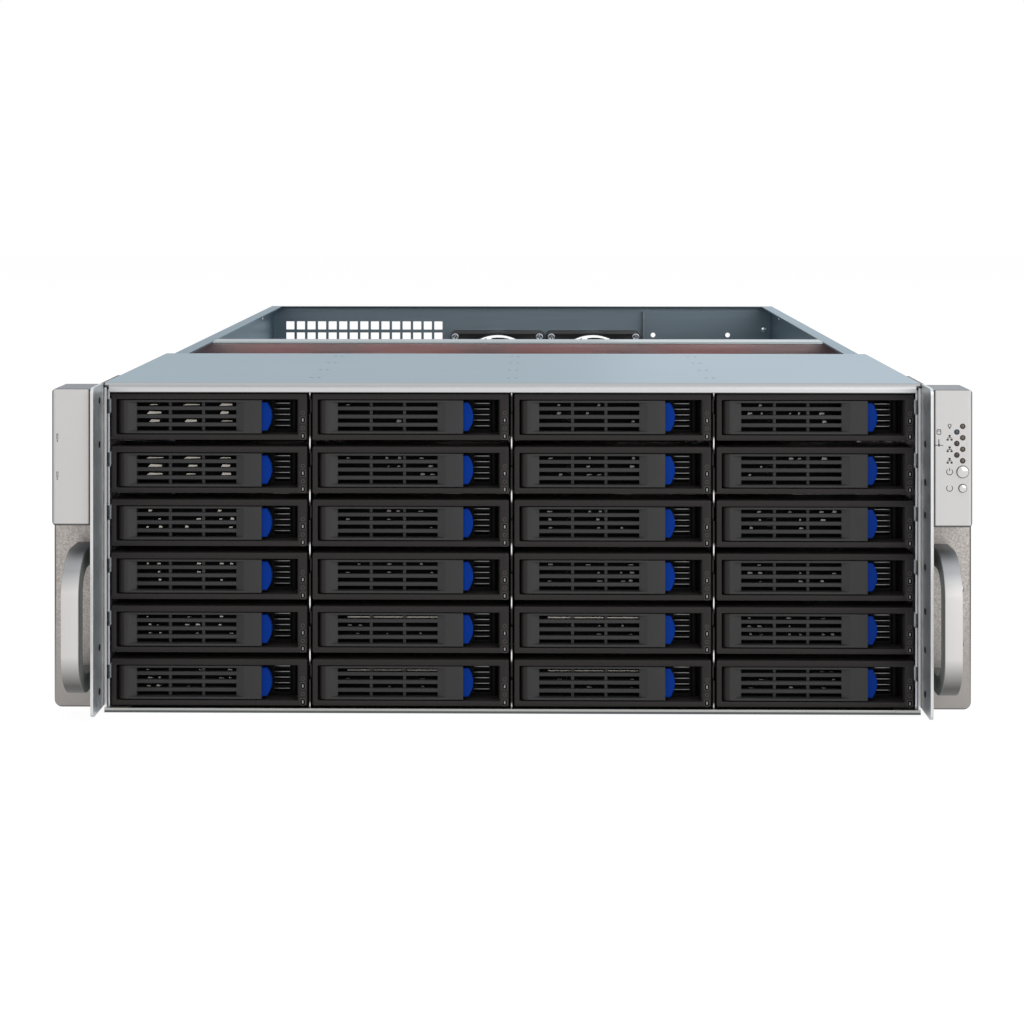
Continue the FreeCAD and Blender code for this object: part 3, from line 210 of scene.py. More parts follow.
@dataclass(frozen=True)
class Zone:
    """Stretch along one axis where a finish turns to another colour, in millimetres."""

    axis: int
    start: float
    end: float
    colour: Colour
    both: bool = False
    fold: float = 0.0
    origin: float = 0.0

    def share(self, made: Surface) -> Wire:
        """How far the surface is in the zone, from 0 at its start to 1 at its end.

        Args:
            made: Material that the zone belongs to.

        Returns:
            The share.
        """
        place = made.node("TexCoord", {}, {}, "Object")
        along = made.node("SeparateXYZ", {}, {"Vector": place}, self.axis)
        if self.both:
            along = made.node("Math", {"operation": "ABSOLUTE"}, {0: along})
        if self.fold:
            along = made.node("Math", {"operation": "PINGPONG"},
                              {0: along - self.origin * MM, 1: self.fold * MM})
        return made.node("MapRange", {}, {"Value": along, "From Min": self.start * MM,
                                          "From Max": self.end * MM})


@dataclass(frozen=True)
class Finish:
    """Surface finish of one material slot of the record."""

    name: str
    slot: str
    colour: Colour
    roughness: float
    zones: tuple[Zone, ...] = field(default=(), kw_only=True)

    def toned(self, made: Surface, colour: Wire) -> Wire:
        """The colour with the finish's zones laid over it.

        Args:
            made: Material of the finish.
            colour: Colour outside the zones.

        Returns:
            The toned colour.
        """
        for zone in self.zones:
            colour = made.blend(zone.share(made), colour, zone.colour)
        return colour

    def paint(self, made: Surface, patterns: tuple[Wire, Wire], share: float, contrast: float,
              gloss: Point2) -> Wire:
        """Vary the colour and the gloss by two patterns together.

        Args:
            made: Material of the finish.
            patterns: The two patterns.
            share: Weight of the first one; the second has the rest.
            contrast: How far the colour strays to each side.
            gloss: Range of the roughness, and how far it starts below the finish's own.

        Returns:
            The two patterns as one.
        """
        mixed = patterns[0] * share + patterns[1] * (1.0 - share)
        colour = made.blend(mixed, tint(self.colour, 1 - contrast), tint(self.colour, 1 + contrast))
        spread, dip = gloss
        made.set(Base_Color=self.toned(made, colour), Roughness=mixed * spread + (self.roughness - dip))
        return mixed

    def material(self) -> bpy.types.Material:
        """The finish's material, made on first use."""
        return bpy.data.materials.get(self.name) or self.make().material

    def make(self) -> Surface:
        """Build the material; each kind of finish has its own way."""
        raise NotImplementedError


@dataclass(frozen=True)
class Sheet(Finish):
    """Rolled metal sheet with streaks along one axis and cloudy patches."""

    streak: Point3 = (18.0, 900.0, 900.0)
    contrast: float = 0.09
    metallic: float = 0.9
    relief: float = 0.05
    edge: Colour = field(default=(1.0, 1.0, 1.0), kw_only=True)

    def make(self) -> Surface:
        """Streaked colour, uneven gloss and a fine bump.

        Returns:
            The finished material.
        """
        made = Surface(self.name, Metallic=self.metallic, Specular_Tint=(*self.edge, 1.0))
        lines, cloud = made.noise(self.streak, 4.0), made.noise(even(9.0), 2.0)
        self.paint(made, (lines, cloud), 0.65, self.contrast, (0.16, 0.08))
        made.bump(lines, self.relief, 0.0004)
        return made


@dataclass(frozen=True)
class Spangle(Finish):
    """Zinc coat with fine crystals of differing gloss."""

    grain: float = 700.0
    contrast: float = 0.16

    def make(self) -> Surface:
        """Crystal cells over fine grain.

        Returns:
            The finished material.
        """
        made = Surface(self.name, Metallic=0.75)
        crystals = made.node("SeparateColor", {}, {"Color": made.cells(self.grain, "Color")}, 0)
        fine = made.noise(even(2200.0), 2.0)
        mixed = self.paint(made, (crystals, fine), 0.6, self.contrast, (0.25, 0.12))
        made.bump(mixed, 0.12, 0.0002)
        return made


@dataclass(frozen=True)
class Moulding(Finish):
    """Moulded plastic with a fine spark-eroded grain and faint handling marks."""

    grain: float = 1500.0
    relief: float = 0.25
    patch: float = 0.12
    specular: float = 0.5

    def make(self) -> Surface:
        """Grained bump, patchy colour and gloss.

        Returns:
            The finished material.
        """
        made = Surface(self.name, Specular_IOR_Level=self.specular)
        grain, patches = made.noise(even(self.grain), 2.0), made.noise(even(35.0), 3.0)
        self.paint(made, (patches, grain), 0.7, self.patch, (0.18, 0.09))
        made.bump(grain, self.relief, 0.00025)
        return made


@dataclass(frozen=True)
class Board(Finish):
    """Circuit board: solder mask over runs of copper, with vias."""

    copper: Colour = (0.45, 0.16, 0.09)
    vias: Colour = (0.62, 0.50, 0.30)
    via_size: float = 0.14

    def make(self) -> Surface:
        """Copper runs as a brick pattern under the mask.

        Returns:
            The finished material.
        """
        made = Surface(self.name, Specular_IOR_Level=0.6)
        runs = made.node("TexBrick", {"offset": 0.37, "squash": 0.7},
                         {"Vector": made.spots((260.0, 260.0, 520.0)), "Scale": 1.0, "Mortar Size": 0.09,
                          "Brick Width": 2.3, "Row Height": 0.45}, "Fac")
        vias = made.node("Math", {"operation": "LESS_THAN"},
                         {0: made.cells(170.0, "Distance"), 1: self.via_size})
        cloud = made.noise(even(24.0), 2.0)
        mask = made.blend(cloud, tint(self.colour, 0.85), tint(self.colour, 1.15))
        under = made.blend(runs * 0.35, mask, self.copper)
        made.set(Base_Color=self.toned(made, made.blend(vias, under, self.vias)),
                 Roughness=cloud * 0.12 + (self.roughness - 0.06), Metallic=vias * 0.8)
        made.bump(runs, 0.15, 0.0002)
        return made


@dataclass(frozen=True)
class Lens(Finish):
    """Cast lamp lens, cloudy towards its middle."""

    def make(self) -> Surface:
        """Clouded clear colour under a gloss coat.

        Returns:
            The finished material.
        """
        made = Surface(self.name, Coat_Weight=0.6, Coat_Roughness=0.1)
        cloud = made.noise(even(1800.0), 2.0)
        made.set(Base_Color=made.blend(cloud, tint(self.colour, 0.6), tint(self.colour, 1.5)),
                 Roughness=cloud * 0.1 + self.roughness)
        return made


X, Y, Z = range(3)
LID_EDGE = (Z, 169.8, 170.3)
FRONT_EDGE = (Y, -339.4, -339.7)
ALONG_Y: Point3 = (400.0, 40.0, 400.0)
# Near-black for sheet faces in painted shade.
PAINTED_SHADE: Colour = (0.010, 0.010, 0.011)
STEEL: Colour = (0.24, 0.31, 0.36)
RIM: Colour = (0.80, 0.87, 0.91)
BRIM: Colour = (0.045, 0.070, 0.080)
# Light neutral grey of the base's front fold and the side panels' foot: painted highlight.
FOOT: Colour = (0.42, 0.42, 0.41)
CASE = Sheet("case_sheet", "case_steel", STEEL, 0.34, edge=RIM, zones=(Zone(*LID_EDGE, BRIM),))
# Base plate: the dark front edge is painted shade.
BASE = Sheet("base_sheet", "case_steel", STEEL, 0.34, edge=RIM,
             zones=(Zone(*FRONT_EDGE, (0.10, 0.11, 0.11)),))
# Side panels: black near the front is painted shade, the pale front edge and foot painted highlight.
SIDE = Sheet("side_sheet", "case_steel", STEEL, 0.34, edge=(0.55, 0.62, 0.67),
             zones=(Zone(Y, -310.0, -325.0, PAINTED_SHADE), Zone(*FRONT_EDGE, (0.85, 0.82, 0.81)),
                    Zone(Z, 3.0, 2.6, FOOT)))
# Cover: grey lip with pale lower band is painted reflection of the floor; dark band below is painted shade.
COVER = Sheet("cover_sheet", "case_steel", (0.237, 0.306, 0.36), 0.36, (14.0, 700.0, 700.0), 0.07, edge=RIM,
              zones=(Zone(Y, -336.4, -338.2, (0.33, 0.335, 0.34)), Zone(Z, 172.4, 171.2, (0.60, 0.60, 0.61)),
                     Zone(Z, 169.5, 169.1, even(0.10))))
# Fan wall: the red tint is painted reflection of the red boards; darker steel grey along the top.
WALL = Sheet("wall_sheet", "case_steel", (0.80, 0.66, 0.66), 0.24, edge=RIM,
             zones=(Zone(*LID_EDGE, (0.25, 0.28, 0.29)),))
# PSU plate: the lighter neutral grey of its forward flange is a painted highlight.
SUPPLY = Sheet("supply_sheet", "case_steel", STEEL, 0.34, edge=RIM,
               zones=(Zone(Y, 329.9, 329.6, even(0.34)),))
# Base front fold in the light foot grey: painted highlight.
FOLD = Sheet("base_fold", "case_steel", FOOT, 0.34)
BRIGHT = Sheet("bright_sheet", "bright_steel", (0.52, 0.53, 0.54), 0.32, ALONG_Y)
# Dividers: sides and front edge painted black as shade, leaving painted highlights in the row gaps.
DIVIDER = Sheet("divider_sheet", "bright_steel", (0.86, 0.86, 0.87), 0.30, ALONG_Y,
                zones=(Zone(Z, 1.4, 3.6, (0.030, 0.030, 0.032), fold=14.05, origin=29.8),
                       Zone(X, 0.26, 0.34, PAINTED_SHADE, fold=53.325),
                       Zone(X, 200.0, 201.0, (0.88, 0.88, 0.90), both=True)))
# Grey strips standing in for the lit edges of the pocket's vent slots: painted highlight.
VENT = Sheet("vent_edge", "bright_steel", (0.26, 0.26, 0.265), 0.35, even(400.0))
# Bright tabs behind the grilles stand in for glints: painted highlight; the dimmer copy is painted shade.
GLINT_TAB = Sheet("stamping", "bright_steel", (0.50, 0.47, 0.42), 0.26, even(420.0), 0.6, 0.8)
DIMMED_GLINT_TAB = Sheet("dull_stamping", "bright_steel", (0.19, 0.185, 0.18), 0.3, even(420.0), 0.6, 0.8)
SLOT = Sheet("slot_zinc", "bright_steel", (0.40, 0.41, 0.42), 0.36, (400.0, 400.0, 40.0))
# Rack ears: the dark outer and bottom edges and the darkening towards the bottom are painted shade.
EAR = Spangle("spangled_zinc", "ear_steel", (0.47, 0.435, 0.41), 0.45, 1300.0, 0.42,
              zones=(Zone(X, 240.3, 240.9, even(0.10), both=True), Zone(Z, 60.0, 5.0, (0.33, 0.31, 0.295)),
                     Zone(Z, 3.9, 3.3, even(0.12))))
# Guard plates: pale front edge is painted highlight; black strip at the side panels is painted shade.
GUARD = Spangle("guard_zinc", "ear_steel", (0.52, 0.565, 0.59), 0.38, 300.0, 0.08,
                zones=(Zone(Y, -366.4, -366.8, even(0.70)), Zone(Y, -342.8, -342.2, PAINTED_SHADE)))
# Near-black of the guard dimples: painted shade in their hollows.
DIMPLE_SHADE = Spangle("guard_notch", "ear_steel", (0.020, 0.020, 0.022), 0.5, 300.0, 0.08)
# Housings: dark edge lines, dark bottom and duller sides are painted shade; bluish top is painted reflection.
SHELL = Moulding("shell_silver", "housing_silver", (0.80, 0.785, 0.775), 0.42, 2600.0, 0.06, 0.03, 0.06,
                 zones=(Zone(X, 235.8, 236.5, (0.10, 0.10, 0.105), both=True),
                        Zone(X, 236.9, 237.06, (0.62, 0.61, 0.605), both=True),
                        Zone(X, 218.2, 217.4, (0.09, 0.075, 0.075), both=True),
                        Zone(Z, 104.2, 103.5, even(0.09)), Zone(Z, 173.0, 173.3, (0.26, 0.28, 0.31))))
# Handles: the darker bends and the darker inner side are painted shade.
ALLOY = Sheet("satin_alloy", "handle_aluminium", (0.62, 0.605, 0.60), 0.54, (900.0, 900.0, 60.0), 0.06,
              0.9, 0.08, zones=(Zone(Z, 38.0, 22.0, (0.12, 0.118, 0.116)),
                                Zone(Z, 71.0, 81.0, (0.30, 0.31, 0.32)),
                                Zone(X, 220.5, 220.1, (0.22, 0.23, 0.22), both=True)))
TRAY = Moulding("tray_grain", "tray_plastic", (0.0225, 0.0198, 0.0193), 0.50, 1500.0, 0.3, 0.15, 0.22)
# Lever: lighter than the bezel, partly its own tone and partly painted sheen.
LEVER = Moulding("lever_grain", "tray_plastic", (0.0400, 0.0390, 0.0410), 0.48, 1300.0, 0.4, 0.15, 0.28)
# Lighter copy for bevels and the thumb ramp: painted highlight.
RAMP = Moulding("bevel_grain", "tray_plastic", (0.038, 0.037, 0.038), 0.46, 1300.0, 0.3, 0.12, 0.3)
COLLAR = Moulding("pipe_collar", "tray_plastic", (0.075, 0.066, 0.063), 0.45, 1300.0, 0.1, 0.1, 0.3)
# Near-black plastic, also for plates of painted shade behind grilles and pockets and round the lamps.
SHADE = Moulding("pocket_black", "tray_plastic", even(0.004), 0.6, specular=0.1)
BLUE = Moulding("slider_blue", "latch_blue", (0.0, 0.036, 0.30), 0.22, 900.0, 0.05, 0.06, 0.07)
BLACK = Moulding("fan_moulding", "fan_black", (0.012, 0.012, 0.013), 0.42, 1200.0, 0.15)
SOCKET = Moulding("socket_moulding", "socket_black", (0.014, 0.014, 0.015), 0.5)
# Boards: the dark front face is painted shade.
RED_BOARD = Board("red_board", "board_red", (0.42, 0.040, 0.036), 0.34,
                  zones=(Zone(Y, -155.2, -155.8, (0.075, 0.007, 0.007)),))
EAR_BOARD = Board("ear_board", "board_dark", (0.015, 0.10, 0.035), 0.34, (0.2, 0.35, 0.1))
BRASS = Sheet("turned_brass", "stud_brass", (0.62, 0.44, 0.16), 0.28, (300.0, 300.0, 900.0))
SCREW = Sheet("screw_zinc", "screw_steel", (0.42, 0.45, 0.49), 0.26, even(600.0))
RIVET = Sheet("rivet_bright", "screw_steel", even(0.80), 0.22, even(600.0))
WELD = Sheet("spot_weld", "case_steel", (0.09, 0.11, 0.13), 0.4, even(300.0), 0.2, edge=(0.4, 0.45, 0.5))
CAP = Sheet("button_bright", "button_silver", even(0.62), 0.16, even(500.0), 0.03)
AMBER = Lens("lamp_amber", "lamp_lens", (0.090, 0.066, 0.030), 0.15)
COOL = Lens("lamp_blue", "lamp_lens", (0.020, 0.045, 0.080), 0.15)
DARK_RED = Lens("lamp_red", "lamp_lens", (0.032, 0.004, 0.005), 0.15)
CLEAR = Lens("pipe_clear", "lamp_lens", (0.30, 0.30, 0.31), 0.2)
# Print ink, also for the dark rings of painted shade round the buttons.
INK_AND_GAP_SHADE = Moulding("print_grey", "housing_silver", (0.030, 0.030, 0.033), 0.6, 3000.0, 0.02, specular=0.1)


def rounded(x0: float, x1: float, y0: float, y1: float, radius: float, steps: int = 4) -> list[Point2]:
    """Outline of a rectangle with round corners.

    Args:
        x0: Low end of the first axis.
        x1: High end of the first axis.
        y0: Low end of the second axis.
        y1: High end of the second axis.
        radius: Corner radius.
        steps: Edges in each corner.

    Returns:
        Points in order round the outline.
    """
    points = []
    corners = ((x1 - radius, y1 - radius), (x0 + radius, y1 - radius),
               (x0 + radius, y0 + radius), (x1 - radius, y0 + radius))
    for quarter, (x, y) in enumerate(corners):
        for step in range(steps + 1):
            angle = math.pi / 2 * (quarter + step / steps)
            points.append((x + radius * math.cos(angle), y + radius * math.sin(angle)))
    return points


def pad(x: float, y: float, half_x: float, half_y: float, radius: float) -> list[Point2]:
    """Outline of a rectangle with round corners, about its middle."""
    return rounded(x - half_x, x + half_x, y - half_y, y + half_y, radius)


def circle(x: float, y: float, radius: float, count: int = 24) -> list[Point2]:
    """Outline of a circle."""
    turns = [2 * math.pi * index / count for index in range(count)]
    return [(x + radius * math.cos(turn), y + radius * math.sin(turn)) for turn in turns]


def evenly(count: int, pitch: float, middle: float = 0.0) -> list[float]:
    """Places of a row of copies about its middle."""
    return [middle + pitch * (index - (count - 1) / 2) for index in range(count)]


def node_box(node: str) -> tuple[Vector, Vector]:
    """Low and high corner of a CAD node, in millimetres."""
    low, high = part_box(node)
    return low / MM, high / MM


class Piece:
    """Mesh of one visible piece, drawn in millimetres, with a material slot for each finish."""

    def __init__(self, name: str) -> None:
        """Start an empty piece.

        Args:
            name: Name of the piece and of its object.
        """
        self.name = name
        self.mesh = bmesh.new()
        self.finishes: list[Finish] = []

    def _index(self, finish: Finish) -> int:
        """Slot number of a finish.

        Args:
            finish: Finish that is looked up, and added where it is new.

        Returns:
            Its place among the piece's slots.
        """
        if finish not in self.finishes:
            self.finishes.append(finish)
        return self.finishes.index(finish)

    def add(self, mesh: bpy.types.Mesh, finish: Finish, move: Matrix | None = None) -> None:
        """Add a mesh in one finish and delete the loose copy.

        Args:
            mesh: Mesh in millimetres.
            finish: Finish of all its faces.
            move: Optional place of the mesh.
        """
        if move is not None:
            mesh.transform(move)
        first = len(self.mesh.faces)
        self.mesh.from_mesh(mesh)
        self.mesh.faces.ensure_lookup_table()
        index = self._index(finish)
        for face in self.mesh.faces[first:]:
            face.material_index = index
        bpy.data.meshes.remove(mesh)

    def plate(self, outlines: Sequence[Sequence[Point2]], start: float, depth: float, finish: Finish,
              edge: float = 0.3, steps: int = 1, facing: Facing = Facing.FRONT) -> None:
        """Add a plate with holes and rounded edges.

        Args:
            outlines: The outer outline and any holes.
            start: Low end of the thickness.
            depth: Thickness.
            finish: Finish of the plate.
            edge: Rounding of its edges.
            steps: Fineness of the rounding.
            facing: Plane of the outlines.
        """
        curve = bpy.data.curves.new("outline", "CURVE")
        curve.dimensions = "2D"
        curve.fill_mode = "BOTH"
        curve.extrude = depth / 2 - edge
        curve.bevel_depth = edge
        curve.bevel_resolution = steps
        curve.offset = -edge
        for points in outlines:
            spline = curve.splines.new("POLY")
            spline.points.add(len(points) - 1)
            for point, (u, v) in zip(spline.points, points):
                point.co = (u, v, 0.0, 1.0)
            spline.use_cyclic_u = True
        holder = bpy.data.objects.new("outline", curve)
        mesh = bpy.data.meshes.new_from_object(holder)
        bpy.data.objects.remove(holder)
        bpy.data.curves.remove(curve)
        turn = Matrix.Identity(4)
        for row, axis in enumerate(facing.value):
            for column in range(3):
                turn[axis][column] = 1.0 if column == row else 0.0
        shift = Matrix.Translation((0.0, 0.0, start + depth / 2))
        self.add(mesh, finish, turn @ shift)

    def block(self, low: Point3, high: Point3, finish: Finish, edge: float = 0.3) -> None:
        """Add a box with rounded edges between two corners."""
        outline = rounded(low[0], high[0], low[2], high[2], edge, 2)
        self.plate([outline], low[1], high[1] - low[1], finish, edge)

    def sweep(self, section: Sequence[Point3], offset: Point3, finish: Finish) -> None:
        """Add a solid by moving a flat outline along an offset.

        Args:
            section: Corners of the outline.
            offset: Way from the first end to the other.
            finish: Finish of the solid.
        """
        mesh = bmesh.new()
        near = [mesh.verts.new(point) for point in section]
        far = [mesh.verts.new(Vector(point) + Vector(offset)) for point in section]
        mesh.faces.new(near)
        mesh.faces.new(far[::-1])
        count = len(section)
        for index in range(count):
            after = (index + 1) % count
            mesh.faces.new((near[index], far[index], far[after], near[after]))
        self.take(mesh, finish)

    def lathe(self, profile: Sequence[Point2], centre: Point3, finish: Finish, count: int = 32,
              axis: int = 1) -> None:
        """Add a solid of revolution.

        Args:
            profile: Radius and height pairs from one end of the axis to the other.
            centre: Origin of the heights.
            finish: Finish of the solid.
            count: Facets round the axis.
            axis: Number of the axis of revolution.
        """
        mesh = bmesh.new()
        first, second = [index for index in range(3) if index != axis]
        rings = []
        for radius, height in profile:
            ring = []
            for index in range(count if radius > 1e-6 else 1):
                turn = 2 * math.pi * index / count
                point = [0.0, 0.0, 0.0]
                point[first] = radius * math.cos(turn)
                point[second] = radius * math.sin(turn)
                point[axis] = height
                ring.append(mesh.verts.new(Vector(point) + Vector(centre)))
            rings.append(ring)
        for lower, upper in zip(rings, rings[1:]):
            for index in range(count):
                after = (index + 1) % count
                corners = [lower[index % len(lower)], lower[after % len(lower)],
                           upper[after % len(upper)], upper[index % len(upper)]]
                mesh.faces.new(list(dict.fromkeys(corners)))
        self.take(mesh, finish)

    def take(self, mesh: bmesh.types.BMesh, finish: Finish) -> None:
        """Add a closed mesh that was made in code.

        Args:
            mesh: Mesh in millimetres, which is freed.
            finish: Finish of all its faces.
        """
        bmesh.ops.recalc_face_normals(mesh, faces=mesh.faces)
        plain = bpy.data.meshes.new("part")
        mesh.to_mesh(plain)
        mesh.free()
        self.add(plain, finish)

    def finish(self, body: str, replaces: Sequence[str] = (), place: Point3 = (0.0, 0.0, 0.0),
               angle: float = 32.0) -> bpy.types.Object:
        """Turn the piece into an object of the scene.

        Args:
            body: CAD body that it moves with.
            replaces: CAD nodes that it stands for.
            place: Shift in millimetres.
            angle: Faces that meet at less than this many degrees shade smoothly.

        Returns:
            The object, at the origin.
        """
        bmesh.ops.remove_doubles(self.mesh, verts=self.mesh.verts, dist=0.0005)
        bmesh.ops.recalc_face_normals(self.mesh, faces=self.mesh.faces)
        mesh = bpy.data.meshes.new(self.name)
        self.mesh.to_mesh(mesh)
        mesh.transform(Matrix.Scale(MM, 4) @ Matrix.Translation(place))
        for finish in self.finishes:
            mesh.materials.append(finish.material())
        mesh.shade_smooth()
        mesh.set_sharp_from_angle(angle=math.radians(angle))
        made = bpy.data.objects.new(self.name, mesh)
        bpy.context.scene.collection.objects.link(made)
        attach(made, body)
        if replaces:
            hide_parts(*replaces)
        LOG.info("%s: %d faces on %s", self.name, len(mesh.polygons), body)
        return made


class Copies:
    """Geometry Nodes tree that repeats a small shape, with its result as a plain mesh."""

    def __init__(self, name: str) -> None:
        """Start a tree with a piece, a finish and a geometry output.

        Args:
            name: Name of the tree.
        """
        self.tree = bpy.data.node_groups.new(name, "GeometryNodeTree")
        self.tree.interface.new_socket("Geometry", in_out="OUTPUT", socket_type="NodeSocketGeometry")
        self.socket("Geometry", "Geometry")
        self.socket("Piece", "Object")
        self.socket("Finish", "Material")
        self.inputs = self.tree.nodes.new("NodeGroupInput")

    def socket(self, name: str, kind: str) -> None:
        """Add a named input."""
        self.tree.interface.new_socket(name, in_out="INPUT", socket_type="NodeSocket" + kind)

    def node(self, kind: str, inputs: Mapping[Any, Any], **settings: Any) -> bpy.types.Node:
        """Add a node.

        Args:
            kind: Full type name of the node.
            inputs: Values or output sockets by input name or number.
            settings: Attributes set before the sockets.

        Returns:
            The node.
        """
        made = self.tree.nodes.new(kind)
        for key, value in settings.items():
            setattr(made, key, value)
        for key, value in inputs.items():
            feed(self.tree, made.inputs[key], value)
        return made

    def close(self, points: bpy.types.NodeSocket, turn: Any = None) -> None:
        """Put the piece on points, realise it, set its finish and end the tree.

        Args:
            points: Geometry of the places.
            turn: Optional rotation of each copy.
        """
        source = self.node("GeometryNodeObjectInfo", {"Object": self.inputs.outputs["Piece"]})
        placed = self.node("GeometryNodeInstanceOnPoints",
                           {"Points": points, "Instance": source.outputs["Geometry"]})
        if turn is not None:
            self.tree.links.new(turn, placed.inputs["Rotation"])
        real = self.node("GeometryNodeRealizeInstances", {"Geometry": placed.outputs[0]})
        dressed = self.node("GeometryNodeSetMaterial",
                            {"Geometry": real.outputs[0], "Material": self.inputs.outputs["Finish"]})
        ending = self.tree.nodes.new("NodeGroupOutput")
        self.tree.links.new(dressed.outputs[0], ending.inputs[0])

    def run(self, piece: Piece, shape: "Piece", finish: Finish, points: Sequence[Point3] = (),
            **values: Any) -> None:
        """Make the copies and add them to a piece.

        Args:
            piece: Piece that receives the copies.
            shape: The shape that is repeated, drawn round the origin.
            finish: Finish of the copies.
            points: Places, for a tree that takes them.
            values: Other inputs of the tree by name.
        """
        small = bpy.data.meshes.new("copy")
        shape.mesh.to_mesh(small)
        source = bpy.data.objects.new("copy", small)
        places = bpy.data.meshes.new("places")
        places.from_pydata(list(points), [], [])
        holder = bpy.data.objects.new("places", places)
        bpy.context.scene.collection.objects.link(holder)
        modifier = holder.modifiers.new("copies", "NODES")
        modifier.node_group = self.tree
        settings = {"Piece": source, "Finish": finish.material(), **values}
        for item in self.tree.interface.items_tree:
            if item.in_out == "INPUT" and item.name in settings:
                modifier[item.identifier] = settings[item.name]
        bpy.context.view_layer.update()
        ready = holder.evaluated_get(bpy.context.evaluated_depsgraph_get())
        mesh = bpy.data.meshes.new_from_object(ready)
        holder.modifiers.clear()
        piece.add(mesh, finish)
        for spare in (holder, source):
            data = spare.data
            bpy.data.objects.remove(spare)
            bpy.data.meshes.remove(data)


class CopiesOnPoints(Copies):
    """Copies at given places, all turned alike."""

    def __init__(self) -> None:
        """Build the tree with a named turn."""
        super().__init__("copies on points")
        self.socket("Turn", "Rotation")
        self.close(self.inputs.outputs["Geometry"], self.inputs.outputs["Turn"])


class CopiesInRow(Copies):
    """Copies in a straight row."""

    def __init__(self) -> None:
        """Build the tree with a named count, start and step."""
        super().__init__("copies in a row")
        self.socket("Count", "Int")
        self.socket("Start", "Vector")
        self.socket("Step", "Vector")
        given = self.inputs.outputs
        line = self.node("GeometryNodeMeshLine", {"Count": given["Count"], "Start Location": given["Start"],
                                                  "Offset": given["Step"]}, mode="OFFSET")
        self.close(line.outputs[0])


class CopiesInRing(Copies):
    """Copies turned evenly about a fore-and-aft axis."""

    def __init__(self) -> None:
        """Build the tree with a named count and centre."""
        super().__init__("copies in a ring")
        self.socket("Count", "Int")
        self.socket("Centre", "Vector")
        given = self.inputs.outputs
        points = self.node("GeometryNodePoints", {"Count": given["Count"], "Position": given["Centre"]})
        index = self.node("GeometryNodeInputIndex", {})
        share = self.node("ShaderNodeMath", {0: index.outputs[0], 1: given["Count"]}, operation="DIVIDE")
        turn = self.node("ShaderNodeMath", {0: share.outputs[0], 1: 2 * math.pi}, operation="MULTIPLY")
        spin = self.node("ShaderNodeCombineXYZ", {"Y": turn.outputs[0]})
        self.close(points.outputs[0], spin.outputs[0])


@dataclass(frozen=True)
class Glints:
    """Bright tabs behind a grille: where they may stand, their least and most half width, and how many do."""

    centres: tuple[float, ...]
    least: float
    most: float
    share: float
    finish: Finish


TAB_PAIRS = (-33.5, -28.0, -12.5, -7.0, 5.0, 10.5)
BROAD = Glints((-30.0, -10.5, 7.5), 2.0, 4.6, 0.95, GLINT_TAB)
FINE = Glints(TAB_PAIRS, 0.5, 1.5, 0.6, GLINT_TAB)
FAINT = Glints(TAB_PAIRS, 0.5, 1.5, 0.4, DIMMED_GLINT_TAB)


